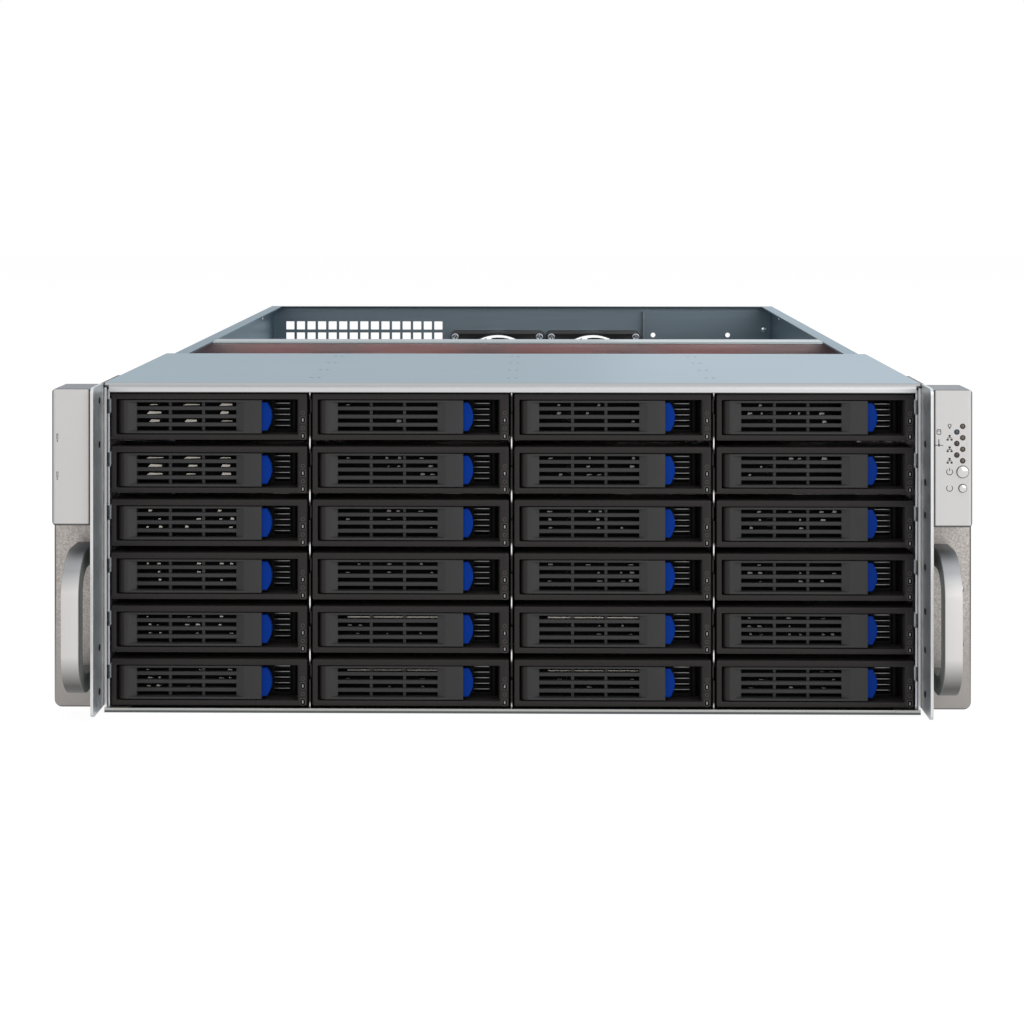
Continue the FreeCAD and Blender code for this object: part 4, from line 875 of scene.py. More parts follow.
@dataclass
class DriveTray:
    """Drive tray: bezel, carrier, grille lever and latch, in millimetres from its low front edge's middle."""

    width: float = 103.75
    height: float = 24.6
    depth: float = 22.0
    rim_left: float = 2.7
    rim_right: float = 4.8
    rim_top: float = 3.2
    rim_low: float = 2.8
    pocket: float = 19.3
    vent_wall: float = 13.0
    vents: int = 5
    gap: float = 0.4
    lever_face: float = 0.6
    lever_thick: float = 7.0
    skin: float = 1.3
    grille_left: float = 10.0
    grille_right: float = 13.6
    bevel: float = 3.8
    sink: float = 2.0
    bars: int = 3
    bar: float = 2.0
    slot: float = 2.325
    notch_half: float = 7.8
    notch_reach: float = 8.8
    latch_half: float = 7.6
    latch_bulge: float = 2.6
    carrier_length: float = 150.0
    carrier_half: float = 51.9
    carrier_foot: float = 0.6
    carrier_top: float = 21.6
    drive_holes: tuple[float, ...] = (29.0, 89.0, 131.0)
    side_slots: tuple[float, ...] = (18.0, 60.0, 102.0)
    pipe_drops: tuple[float, ...] = (14.0, 22.4)
    ring_drops: tuple[float, ...] = (10.2, 18.3)
    gauge: float = 0.8
    cross_strip: float = 22.0
    tab_gap: float = 0.6
    tilt: float = 0.16
    rows: CopiesInRow = field(default_factory=CopiesInRow)

    @property
    def window(self) -> tuple[float, float, float, float]:
        """Left, right, low and high edge of the bezel's window."""
        return (-self.width / 2 + self.rim_left, self.width / 2 - self.rim_right,
                self.rim_low, self.height - self.rim_top)

    @property
    def middle(self) -> float:
        """Height of the window's middle."""
        return (self.window[2] + self.window[3]) / 2

    @property
    def lever_right(self) -> float:
        """End of the lever at the finger pocket."""
        return self.window[1] - self.pocket

    @property
    def lever_back(self) -> float:
        """Depth of the lever's back."""
        return self.lever_face + self.lever_thick

    @property
    def pitch(self) -> float:
        """Distance from one grille bar to the next."""
        return self.bar + self.slot

    def bezel(self, piece: Piece) -> None:
        """Draw the front frame, its finger pocket, thumb ramp and light pipes.

        Args:
            piece: Piece that receives it.
        """
        left, right, low, high = self.window
        half = self.width / 2
        piece.plate([rounded(-half, half, 0, self.height, 0.7), rounded(left, right, low, high, 0.5)],
                    0, self.depth, TRAY, 0.45, 2)
        self.finger_pocket(piece)
        foot = low + 0.6
        piece.sweep([(right + 0.1, 0.4, foot), (right - 0.5, 2.4, foot), (right + 0.1, 2.4, foot)],
                    (0, 0, high - low - 1.2), RAMP)
        self.light_pipes(piece)

    def finger_pocket(self, piece: Piece) -> None:
        """Draw the pocket's slotted wall and post, a plate of painted shade and strips of painted highlight.

        Args:
            piece: Piece that receives it.
        """
        _, right, low, high = self.window
        edge, wall = self.lever_right, self.vent_wall
        slots = [rounded(edge + 5.4, edge + 13.4, z - 0.9, z + 0.9, 0.4)
                 for z in evenly(self.vents, 3.5, self.middle)]
        room = rounded(edge - 0.5, right + 0.5, low - 0.4, high + 0.4, 0.2)
        piece.plate([room] + slots, wall, 1.5, SHADE, 0.2)
        # Near-black plate behind the slots: painted shade.
        piece.plate([room], wall + 4.0, 1.0, SHADE, 0.2)
        post = 1.9
        piece.lathe([(0, low), (post, low), (post, high), (0, high)], (edge + 16.0, wall + 0.4, 0),
                    SHADE, 16, Z)
        # The strips stand in for the lit edges of the slots: painted highlight.
        strip = Piece("strip")
        strip.block((-4.2, 0, -0.22), (4.2, 0.5, 0.22), VENT, 0.1)
        self.rows.run(piece, strip, VENT, Count=self.vents, Start=(edge + 9.4, wall - 0.4, self.middle - 6.0),
                      Step=(0.0, 0.0, 3.0))

    def light_pipes(self, piece: Piece) -> None:
        """Draw the two light pipes in their collars, and the two rings beside them.

        Args:
            piece: Piece that receives it.
        """
        x = self.width / 2 - self.rim_right / 2 + 0.2
        rings = ((1.6, 2.0, 1.4, -0.08, COLLAR, 0.06), (1.25, 1.65, 1.1, -0.14, SHADE, 0.06),
                 (0.4, 0.9, 0.38, -0.25, CLEAR, 0.1))
        for drop in self.pipe_drops:
            for half, tall, radius, start, finish, edge in rings:
                piece.plate([pad(x, self.height - drop, half, tall, radius)], start, 0.5, finish, edge)
        for drop in self.ring_drops:
            z = self.height - drop
            piece.plate([circle(x, z, 1.1, 18), circle(x, z, 0.75, 18)], -0.06, 0.3, COLLAR, 0.03)

    def carrier(self, piece: Piece, row: int, column: int) -> None:
        """Draw the drive's open frame, and behind the grille a plate of painted shade with bright tabs.

        Args:
            piece: Piece that receives the frame.
            row: Number of the tray's row.
            column: Number of the tray's column, which with the row sets its tabs.
        """
        start, end = self.depth, self.depth + self.carrier_length
        for near in (start, end - self.cross_strip):
            piece.plate([rounded(-self.carrier_half, self.carrier_half, near, near + self.cross_strip, 0.6)],
                        self.carrier_foot, self.gauge, BRIGHT, 0.1, facing=Facing.TOP)
        side = [rounded(start, end, self.carrier_foot, self.carrier_top, 1.0)]
        side += [circle(start + along, 7.75, 1.7, 16) for along in self.drive_holes]
        side += [rounded(start + along, start + along + 22, 12.0, 17.0, 2.0) for along in self.side_slots]
        for x in (-self.carrier_half, self.carrier_half - self.gauge):
            piece.plate(side, x, self.gauge, BRIGHT, 0.1, facing=Facing.SIDE)
        wall = self.depth - 5.0
        left, _, low, high = self.window
        # Near-black plate behind the grille: painted shade, which also hides the boards behind it.
        piece.plate([rounded(left, self.lever_right, low, high, 0.3)], wall, 1.0, SHADE, 0.1)
        if column > 2:
            x, z = -22.0, 10.5
            piece.plate([circle(x, z, 2.4), circle(x, z, 2.0)], wall - 0.6, 0.7, RAMP, 0.08)
        levels = evenly(self.bars + 1, self.pitch, self.middle - 0.7 - 0.2 * row)
        # Columns 2 to 4 take dimmer tabs: painted shade.
        glints = FAINT if column > 1 else BROAD if row < 3 else FINE
        self.glint_tabs(piece, wall, levels[1:], Random(31 * row + column), glints)
        # A long bright tab low in the middle columns: painted highlight.
        if row > 4 and column in (2, 3):
            left, right, low, high = -34.0, 14.0, -0.2, 0.6
            corners = ((left, low), (right, low), (right, high), (left, high))
            self.tab(piece, wall, levels[-1], corners, GLINT_TAB)

    def tab(self, piece: Piece, wall: float, level: float, corners: Sequence[Point2], finish: Finish) -> None:
        """Draw one tilted bright tab of painted highlight behind the grille.

        Args:
            piece: Piece that receives it.
            wall: Depth of the dark wall that it stands on.
            level: Height that its corners count from.
            corners: Side place and rise of each corner, from the lower left.
            finish: Its finish.
        """
        front = self.lever_back + self.tab_gap
        foot = min(rise for _, rise in corners)
        section = [(side, front + self.tilt * (rise - foot), level + rise) for side, rise in corners]
        piece.sweep(section, (0.0, wall - front, 0.0), finish)

    def glint_tabs(self, piece: Piece, wall: float, levels: Sequence[float], chance: Random,
                  glints: Glints) -> None:
        """Draw bright tabs of painted highlight behind the grille, differing from tray to tray.

        Args:
            piece: Piece that receives them.
            wall: Depth of the dark wall that they stand on.
            levels: Heights at which they stand.
            chance: Seeded source of their sizes.
            glints: Their kind.
        """
        for level in levels:
            for centre in glints.centres:
                if chance.random() > glints.share:
                    continue
                x = centre + chance.uniform(-0.8, 0.8)
                wide, tall = chance.uniform(glints.least, glints.most), chance.uniform(0.25, 0.9)
                lean = chance.uniform(-0.3, 0.3)
                corners = ((x - wide, -tall), (x + wide + lean, -tall * 0.4), (x + wide, tall * 0.7),
                           (x - wide * 0.6, tall))
                self.tab(piece, wall, level, corners, glints.finish)

    def lever(self, piece: Piece) -> None:
        """Draw the swing handle with its bevelled hollow, bars and set-back ribs.

        Args:
            piece: Piece that receives it.
        """
        left, right = self.window[0] + self.gap, self.lever_right
        low, high = self.window[2] + self.gap, self.window[3] - self.gap
        front, back, face = self.lever_face, self.lever_back, self.lever_face + self.sink
        x0, x1 = left + self.grille_left, right - self.grille_right
        tall = (self.bars + 1) * self.slot + self.bars * self.bar
        floor, top = self.middle - tall / 2, self.middle + tall / 2
        mouth = rounded(x0 - self.bevel, x1 + self.bevel, floor, top, 0.3)
        heel = self.lever_thick / 2
        skin = rounded(left + heel, right, low, high, 0.5)
        notch_low, notch_high = self.middle - self.notch_half, self.middle + self.notch_half
        notch_left, end = right - self.notch_reach, right - 0.2
        core = [(left + heel, low), (end, low), (end, notch_low), (notch_left, notch_low),
                (notch_left, notch_high), (end, notch_high), (end, high), (left + heel, high)]
        piece.plate([skin, mouth], front, self.skin, LEVER, 0.35, 2)
        piece.plate([core, mouth], front + 0.8, self.lever_thick - 1.6, LEVER, 0.05)
        piece.plate([skin, mouth], back - self.skin, self.skin, LEVER, 0.35, 2)
        round_off = 0.3
        # The round heel takes the darker bezel plastic: painted shade.
        piece.lathe([(0, low), (heel - round_off, low), (heel, low + round_off), (heel, high - round_off),
                     (heel - round_off, high), (0, high)], (left + heel, front + heel, 0), TRAY, 40, Z)
        for near, far in ((x0 - self.bevel - 0.2, x0), (x1 + self.bevel + 0.2, x1)):
            foot = floor - 0.2
            section = [(near, front + 0.1, foot), (far, face, foot), (far, back - 0.2, foot),
                       (near, back - 0.2, foot)]
            piece.sweep(section, (0, 0, tall + 0.4), RAMP)
        bar = Piece("bar")
        bar.block((x0 - 1.0, face, -self.bar / 2), (x1 + 1.0, face + 3.0, self.bar / 2), LEVER, 0.3)
        first = self.middle - (self.bars - 1) / 2 * self.pitch
        self.rows.run(piece, bar, LEVER, Count=self.bars, Start=(0.0, 0.0, first),
                      Step=(0.0, 0.0, self.pitch))
        rib = Piece("rib")
        rib.block((-0.8, face + 1.0, floor - 0.3), (0.8, face + 3.4, top + 0.3), LEVER, 0.25)
        third = (x1 - x0) / 3
        self.rows.run(piece, rib, LEVER, Count=2, Start=(x0 + third, 0.0, 0.0), Step=(third, 0.0, 0.0))

    def latch(self, piece: Piece) -> None:
        """Draw the blue thumb slider with its bulging right side.

        Args:
            piece: Piece that receives it.
        """
        left, right = self.lever_right - 6.0, self.lever_right + 5.2
        half, steps = self.latch_half, 8
        bulge = [(right - self.latch_bulge * (step / steps) ** 2, self.middle + half * step / steps)
                 for step in range(-steps, steps + 1)]
        outline = [(left, self.middle - half)] + bulge + [(left, self.middle + half)]
        piece.plate([outline], 2.0, 4.2, BLUE, 0.55, 3)


@dataclass
class TrayBank:
    """All trays, each on its own body, with the moving levers and latches of the top row."""

    rows: int = 6
    columns: int = 4
    tray: DriveTray = field(default_factory=DriveTray)

    def place(self, label: str) -> Point3:
        """Middle of the low front edge of a tray's bezel in millimetres, from its CAD node."""
        low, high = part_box("drive_tray_" + label)
        return ((low.x + high.x) / 2 / MM, low.y / MM, low.z / MM)

    def make(self, kind: str, label: str, steps: Sequence[Callable[[Piece], None]]) -> None:
        """Draw one piece of a tray and set it on its body.

        Args:
            kind: tray, lever or latch, which names the piece, its body and its CAD node.
            label: Row and column of the tray.
            steps: Drawing methods of the tray.
        """
        name = f"{kind}_{label}"
        piece = Piece(name)
        for step in steps:
            step(piece)
        node = ("drive_" if kind == "tray" else "tray_") + name
        piece.finish(name, [node], self.place(label))

    def build(self) -> None:
        """Draw every tray."""
        tray = self.tray
        for row in range(1, self.rows + 1):
            for column in range(1, self.columns + 1):
                label = f"r{row}c{column}"
                steps = [tray.bezel, partial(tray.carrier, row=row, column=column)]
                if row == 1:
                    self.make("tray", label, steps)
                    self.make("lever", label, [tray.lever])
                    self.make("latch", label, [tray.latch])
                else:
                    self.make("tray", label, steps + [tray.lever, tray.latch])


@dataclass
class EarControls:
    """Lamps, buttons and plain printed marks on the ear housings."""

    lamps: tuple[Finish, ...] = (AMBER, COOL, AMBER, DARK_RED, AMBER, DARK_RED, AMBER)
    lamp_half: float = 1.2
    mark_gap: float = 6.7
    far_gap: float = 12.2

    def lamp_places(self) -> list[Point2]:
        """Centres of the lamps on the housing's face, the highest first.

        Returns:
            Side place and height of each lamp.
        """
        low, high = node_box("status_lamps")
        step = (high.z - low.z - 2 * self.lamp_half) / (len(self.lamps) - 1)
        sides = (high.x - self.lamp_half, low.x + self.lamp_half)
        return [(sides[index % 2], high.z - self.lamp_half - step * index)
                for index in range(len(self.lamps))]

    def build(self) -> None:
        """Draw the lamps, the buttons and the marks."""
        self.lenses()
        self.button("power_button", 0.55)
        self.button("reset_button", 0.4)
        self.marks()

    def lenses(self) -> None:
        """Draw the lamps with domed ends, each in a dark ring of painted shade."""
        low, high = node_box("status_lamps")
        piece = Piece("lamp_lenses")
        profile = [(0, high.y), (1.1, high.y), (1.1, low.y + 0.5), (0.9, low.y + 0.25), (0.5, low.y + 0.08),
                   (0, low.y + 0.05)]
        for (x, z), finish in zip(self.lamp_places(), self.lamps):
            piece.lathe(profile, (x, 0, z), finish, 20)
            # Dark ring round each lens: painted shade in its hole.
            piece.plate([circle(x, z, 1.4), circle(x, z, 0.95)], low.y + 0.32, 0.2, SHADE, 0.04)
        piece.finish("chassis", ["status_lamps"])

    def button(self, node: str, crown: float) -> None:
        """Draw a push button with a crowned cap, and a dark ring of painted shade round it.

        Args:
            node: CAD node that it stands for.
            crown: Height of the crown.
        """
        low, high = node_box(node)
        collar = (high.x - low.x) / 2
        radius = collar - 0.8
        x, z = (low.x + high.x) / 2, (low.z + high.z) / 2
        piece = Piece(node + "_cap")
        profile = [(0, high.y), (collar, high.y), (collar, high.y - 1.0), (radius, high.y - 1.0),
                   (radius, low.y + crown), (radius * 0.93, low.y + crown * 0.55),
                   (radius * 0.6, low.y + 0.08), (0, low.y)]
        piece.lathe(profile, (x, 0, z), CAP, 40)
        piece.finish(node, [node])
        # Dark ring in the gap round the cap: painted shade.
        rim = Piece(node + "_rim")
        face = node_box("control_housing")[0].y
        rim.plate([circle(x, z, radius + 0.32, 36), circle(x, z, radius + 0.02, 36)], face - 0.05, 0.15,
                  INK_AND_GAP_SHADE, 0.03)
        rim.finish("chassis")

    def marks(self) -> None:
        """Draw the plain printed marks beside the lamps, buttons and ports."""
        face = node_box("control_housing")[0].y
        piece = Piece("printed_marks")

        def ink(outlines: Sequence[Sequence[Point2]]) -> None:
            """Print one mark on the face."""
            piece.plate(outlines, face - 0.03, 0.06, INK_AND_GAP_SHADE, 0.01)

        def ring(x: float, z: float, radius: float, line: float = 0.36) -> None:
            """Print a thin ring."""
            ink([circle(x, z, radius, 20), circle(x, z, radius - line, 20)])

        def bar(x: float, half: float, low: float, high: float) -> None:
            """Print a filled bar between two heights."""
            ink([[(x - half, low), (x + half, low), (x + half, high), (x - half, high)]])

        places = self.lamp_places()
        near, far = places[0][0] - self.mark_gap, places[0][0] - self.far_gap
        bulb = places[0][1]
        ring(near, bulb + 0.3, 0.95)
        bar(near, 0.4, bulb - 1.3, bulb - 0.75)
        for _, z in places[2::2]:
            for x, drop in ((0.0, 1.0), (-1.0, -1.0), (1.0, -1.0)):
                bar(near + x, 0.55, z + drop - 0.45, z + drop + 0.45)
            bar(near, 0.17, z - 0.1, z + 0.6)
            bar(near, 1.15, z - 0.24, z + 0.1)
        drive, heat = (z for _, z in places[1:4:2])
        ink([pad(far, drive, 1.15, 1.4, 0.7), pad(far, drive, 0.85, 1.1, 0.5)])
        bar(far, 0.9, drive + 0.35, drive + 0.6)
        bar(far, 0.22, heat - 0.6, heat + 2.2)
        ring(far, heat - 0.9, 0.62, 0.5)
        for side in (-1.5, 1.5):
            bar(far + side, 0.7, heat - 1.1, heat - 0.75)
        opening, steps = 80.0, 16
        arc = [math.radians(90 + opening / 2 + (360 - opening) * step / steps) for step in range(steps + 1)]
        for node in ("power_button", "reset_button"):
            low, high = node_box(node)
            z = (low.z + high.z) / 2
            outer = [(near + 1.75 * math.cos(a), z + 1.75 * math.sin(a)) for a in arc]
            inner = [(near + 1.4 * math.cos(a), z + 1.4 * math.sin(a)) for a in arc[::-1]]
            ink([outer + inner])
            if node == "power_button":
                bar(near, 0.18, z + 0.4, z + 2.0)
        low, high = node_box("usb_housing")
        for drop in (24.7, 44.3):
            x, z = low.x + 3.2, high.z - drop
            ink([pad(x, z, 0.45, 1.5, 0.3), pad(x, z, 0.22, 1.2, 0.1)])
            bar(x, 0.3, z - 2.6, z - 2.0)
        piece.finish("chassis")


@dataclass
class PullHandles:
    """Two satin handles, each a flat bar bent to a D."""

    width: float = 9.2
    bar: float = 10.0
    bend: float = 12.0
    edge: float = 0.5
    smooth: float = 24.0

    def outline(self, low: Vector, high: Vector) -> list[Point2]:
        """Side view of a handle, from its box.

        Args:
            low: Low corner of the handles' box.
            high: High corner of the handles' box.

        Returns:
            Points in order round the outline.
        """
        steps = 10

        def arc(y: float, z: float, radius: float, start: float, sign: int) -> list[Point2]:
            """Quarter bend about a centre."""
            turns = [start + sign * math.pi / 2 * step / steps for step in range(steps + 1)]
            return [(y + radius * math.cos(turn), z + radius * math.sin(turn)) for turn in turns]

        outer = self.bend + self.bar
        y = low.y + outer
        lower, upper = low.z + outer, high.z - outer
        points = [(high.y, high.z)] + arc(y, upper, outer, math.pi / 2, 1) + arc(y, lower, outer, math.pi, 1)
        points += [(high.y, low.z), (high.y, low.z + self.bar)]
        points += arc(y, lower, self.bend, 1.5 * math.pi, -1) + arc(y, upper, self.bend, math.pi, -1)
        return points + [(high.y, high.z - self.bar)]

    def build(self) -> None:
        """Draw both handles."""
        low, high = node_box("front_handles")
        piece = Piece("pull_handles")
        for start in (low.x, high.x - self.width):
            piece.plate([self.outline(low, high)], start, self.width, ALLOY, self.edge, 2, Facing.SIDE)
        piece.finish("chassis", ["front_handles"], angle=self.smooth)


@dataclass
class Fasteners:
    """Screw heads, and the dimples, rivets, weld marks and front fold of the sheets, in millimetres."""

    fan_pitch: float = 81.6
    fan_holes: float = 71.5
    ear_face: float = 218.5
    ear_setback: float = 28.0
    ear_margin: float = 52.0
    guard_face: float = 215.0
    guard_middle: float = -352.0
    left_dimples: tuple[float, ...] = (166.0, 143.0, 37.0, 14.0)
    right_dimples: tuple[float, ...] = (144.0, 124.0, 107.0, 80.0, 57.0, 37.0, 14.0)
    left_rivet: Point3 = (-213.8, 265.0, 166.6)
    right_rivet: Point3 = (213.8, 276.0, 166.6)
    rear_rivet: Point3 = (208.0, 337.6, 151.7)
    cover_top: float = 174.0
    bay_pitch: float = 106.65
    weld_rows: tuple[float, ...] = (-311.0, -266.0, -222.0, -181.0)
    weld_half: float = 2.0
    fold_low: Point3 = (-201.8, -340.0, 1.1)
    fold_high: Point3 = (201.8, -338.9, 2.4)
    points: CopiesOnPoints = field(default_factory=CopiesOnPoints)

    def screw(self, radius: float = 3.2, height: float = 2.2) -> Piece:
        """Pan head with a cross recess, its seat at the origin and its head towards the front.

        Args:
            radius: Radius of the head.
            height: Height of the head.

        Returns:
            The head, to be repeated.
        """
        shape = Piece("screw")
        arm, half = radius * 0.55, radius * 0.14
        cross = [(half, half), (half, arm), (-half, arm), (-half, half), (-arm, half), (-arm, -half),
                 (-half, -half), (-half, -arm), (half, -arm), (half, -half), (arm, -half), (arm, half)]
        shape.plate([circle(0, 0, radius, 20), cross], -height, height, SCREW, 0.5, 2)
        shape.plate([circle(0, 0, radius * 0.7, 12)], -height * 0.5, height * 0.4, SCREW, 0.05)
        return shape

    def screws(self) -> None:
        """Draw the screws of the rear fans and of the ears."""
        piece = Piece("screw_heads")
        low, high = node_box("rear_fan_frames")
        heights = evenly(2, self.fan_holes, (low.z + high.z) / 2)
        places = [(x, low.y, z) for fan in evenly(2, self.fan_pitch, (low.x + high.x) / 2)
                  for x in evenly(2, self.fan_holes, fan) for z in heights]
        self.points.run(piece, self.screw(), SCREW, places)
        low, high = node_box("rack_ears")
        heights = evenly(4, (high.z - low.z - self.ear_margin) / 3, (low.z + high.z) / 2)
        for side in (-1, 1):
            places = [(side * self.ear_face, low.y + self.ear_setback, z) for z in heights]
            self.points.run(piece, self.screw(), SCREW, places, Turn=(0.0, 0.0, side * math.pi / 2))
        piece.finish("chassis", ["case_screws"])

    def scatter(self, name: str, profile: Sequence[Point2], finish: Finish,
                groups: Sequence[tuple[Sequence[Point3], float]], count: int = 16, axis: int = Y) -> None:
        """Draw copies of one small turned shape on the case.

        Args:
            name: Name of the piece that they make up.
            profile: Radius and height pairs of the shape.
            finish: Its finish.
            groups: Places, each with the turn of its copies about the upright axis.
            count: Facets round the shape.
            axis: Axis of the shape.
        """
        piece, shape = Piece(name), Piece("shape")
        shape.lathe(profile, (0, 0, 0), finish, count, axis)
        for places, turn in groups:
            self.points.run(piece, shape, finish, places, Turn=(0.0, 0.0, turn))
        piece.finish("chassis")

    def build(self) -> None:
        """Draw the screws and the small marks of the sheet metal."""
        self.screws()
        quarter = math.pi / 2
        guards = ((-1, self.left_dimples), (1, self.right_dimples))
        dimples = [([(side * self.guard_face, self.guard_middle, z) for z in heights], -side * quarter)
                   for side, heights in guards]
        # The dimples are near-black: painted shade in their hollows.
        self.scatter("guard_dimples", [(0, 0.0), (1.9, 0.0), (1.6, -0.28), (0.8, -0.45), (0, -0.5)], DIMPLE_SHADE,
                     dimples)
        rivets = [([self.left_rivet], quarter), ([self.right_rivet], -quarter), ([self.rear_rivet], 0.0)]
        self.scatter("rivets", [(0, 0.0), (2.2, 0.0), (1.9, -0.6), (1.0, -1.05), (0, -1.2)], RIVET, rivets)
        welds = [(x + shift, y, self.cover_top) for x in evenly(3, self.bay_pitch)
                 for y in self.weld_rows for shift in (-self.weld_half, self.weld_half)]
        self.scatter("cover_welds", [(0.0, 0.0), (0.9, 0.0), (0.8, 0.06), (0.45, 0.05), (0.0, 0.02)], WELD,
                     [(welds, 0.0)], 14, Z)
        fold = Piece("base_front_fold")
        fold.block(self.fold_low, self.fold_high, FOLD, 0.2)
        fold.finish("chassis")


@dataclass(frozen=True)
class FanKind:
    """One size of fan with the names of its CAD nodes, in millimetres."""

    frames: str
    rotor: str
    count: int
    size: float
    depth: float
    hub: float
    spacing: float


@dataclass
class FanSet:
    """Square fans with round ducts, struts and curved blades."""

    kinds: tuple[FanKind, ...] = (
        FanKind("wall_fan_frames", "wall_fan_rotor_", 3, 120.0, 38.0, 23.0, 105.0),
        FanKind("rear_fan_frames", "rear_fan_rotor_", 2, 80.0, 25.0, 17.0, 71.5))
    flange: float = 4.0
    duct: float = 1.8
    struts: int = 4
    blades: int = 7
    reach: float = 0.435
    thick: float = 1.3
    belly: float = 1.6
    sweep: float = 40.0
    flare: float = 4.0
    lead: float = 14.0
    smooth: float = 40.0
    ring: CopiesInRing = field(default_factory=CopiesInRing)

    def frame(self, piece: Piece, centre: Point3, kind: FanKind) -> None:
        """Draw one fan frame.

        Args:
            piece: Piece that receives the frame.
            centre: Middle of the frame's front face.
            kind: Sizes of the fan.
        """
        x, y, z = centre
        hub, end = kind.hub, y + kind.depth
        half, bore = kind.size / 2, kind.size / 2 - 2.0
        holes = [circle(hole_x, hole_z, 2.2, 14) for hole_x in evenly(2, kind.spacing, x)
                 for hole_z in evenly(2, kind.spacing, z)]
        square = pad(x, z, half, half, 4.0)
        for start in (y, end - self.flange):
            piece.plate([square, circle(x, z, bore, 56)] + holes, start, self.flange, BLACK, 0.4)
        outer, near, far = bore + self.duct, y + 1.0, end - 1.0
        piece.lathe([(bore, near), (bore, far), (outer, far), (outer, near), (bore, near)], (x, 0, z),
                    BLACK, 56)
        seat = kind.depth - 3.0
        piece.lathe([(0, y + seat), (hub, y + seat), (hub, end - 0.5), (hub - 0.6, end), (hub * 0.72, end),
                     (hub * 0.70, end - 0.5), (0, end - 0.5)], (x, 0, z), BLACK, 40)
        strut = Piece("strut")
        strut.block((hub - 1.0, seat, -1.6), (bore + 0.8, kind.depth, 1.6), BLACK, 0.4)
        strut.mesh.transform(Matrix.Rotation(math.pi / 4, 4, "Y"))
        self.ring.run(piece, strut, BLACK, Count=self.struts, Centre=(x, y, z))

    def blade(self, kind: FanKind) -> Piece:
        """One curved blade about the rotor's axis, its tip turned ahead of its root.

        Args:
            kind: Sizes of the fan.

        Returns:
            The blade, to be repeated.
        """
        blade = Piece("blade")
        root, tip = kind.hub - 1.0, kind.size * self.reach
        across, along = 6, 7
        sheet = bmesh.new()

        def point(i: int, j: int, side: float) -> bmesh.types.BMVert:
            """Vertex at one step from root to tip and from edge to edge.

            Args:
                i: Step from the root to the tip.
                j: Step from edge to edge.
                side: Share of the thickness to one side of the middle.

            Returns:
                The new vertex.
            """
            share, chord = i / along, j / across - 0.5
            radius = root + (tip - kind.hub + 1.0) * share
            turn = chord * math.radians(self.sweep + self.flare * share)
            turn += math.radians(self.lead) * share ** 2
            pitch = chord * (kind.depth - 9.0) * (1 - 0.25 * share)
            rise = kind.depth / 2 - 0.8 + pitch + self.belly * (chord ** 2 * 4 - 1)
            place = (radius * math.sin(turn), rise + side * self.thick, radius * math.cos(turn))
            return sheet.verts.new(place)

        lower, upper = ([[point(i, j, side) for j in range(across + 1)] for i in range(along + 1)]
                        for side in (-0.5, 0.5))
        for i in range(along):
            for j in range(across):
                for grid, order in ((lower, 1), (upper, -1)):
                    face = [grid[i][j], grid[i + 1][j], grid[i + 1][j + 1], grid[i][j + 1]]
                    sheet.faces.new(face[::order])
        rim = [(i, 0) for i in range(along)] + [(along, j) for j in range(across)]
        rim += [(i, across) for i in range(along, 0, -1)] + [(0, j) for j in range(across, 0, -1)]
        for (i, j), (k, m) in zip(rim, rim[1:] + rim[:1]):
            sheet.faces.new((lower[i][j], lower[k][m], upper[k][m], upper[i][j]))
        blade.take(sheet, BLACK)
        return blade

    def rotor(self, name: str, centre: Point3, kind: FanKind) -> None:
        """Draw one rotor on its body.

        Args:
            name: CAD node and body of the rotor.
            centre: Middle of the frame's front face.
            kind: Sizes of the fan.
        """
        piece = Piece(name + "_blades")
        hub, end = kind.hub, kind.depth - 3.5
        piece.lathe([(0, 1.6), (hub * 0.55, 1.6), (hub - 1.4, 1.9), (hub - 0.3, 2.8), (hub, 4.2), (hub, end),
                     (0, end)], centre, BLACK, 40)
        self.ring.run(piece, self.blade(kind), BLACK, Count=self.blades, Centre=centre)
        piece.finish(name, [name], angle=self.smooth)

    def build(self) -> None:
        """Draw the fan wall's fans and the rear fans."""
        for kind in self.kinds:
            low, high = node_box(kind.frames)
            piece = Piece(kind.frames + "_moulded")
            pitch = (high.x - low.x - kind.size) / (kind.count - 1)
            for index, x in enumerate(evenly(kind.count, pitch, (low.x + high.x) / 2)):
                centre = (x, low.y, (low.z + high.z) / 2)
                self.frame(piece, centre, kind)
                self.rotor(kind.rotor + str(index + 1), centre, kind)
            piece.finish("chassis", [kind.frames])


@dataclass
class Shell:
    """Sheet metal and boards that keep their CAD shape and take a finish."""

    finishes: Mapping[str, Finish] = field(default_factory=lambda: {
        "base_plate": BASE, "side_panels": SIDE, "front_top_cover": COVER, "rear_panel": CASE,
        "bay_dividers": DIVIDER, "backplane_boards": RED_BOARD, "backplane_sockets": SOCKET, "fan_wall": WALL,
        "slot_covers": SLOT, "psu_plate": SUPPLY, "board_studs": BRASS, "rack_ears": EAR,
        "guard_plates": GUARD, "control_housing": SHELL, "usb_housing": SHELL, "ear_boards": EAR_BOARD})

    def build(self) -> None:
        """Give each CAD node its finish."""
        for node, finish in self.finishes.items():
            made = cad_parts[node]
            made.data.materials.clear()
            made.data.materials.append(finish.material())
            LOG.info("%s: %s", node, finish.name)


@dataclass(frozen=True)
class Lamp:
    """Square soft lamp, in metres and watts."""

    name: str
    place: Point3
    aim: Point3
    size: float
    power: float
    colour: Colour = (1.0, 1.0, 1.0)

    def hang(self) -> None:
        """Add the lamp to the scene, turned to its aim."""
        data = bpy.data.lights.new(self.name, "AREA")
        data.color = self.colour
        data.size = self.size
        data.energy = self.power
        made = bpy.data.objects.new(self.name, data)
        made.location = self.place
        made.rotation_euler = (Vector(self.aim) - Vector(self.place)).to_track_quat("-Z", "Y").to_euler()
        bpy.context.scene.collection.objects.link(made)


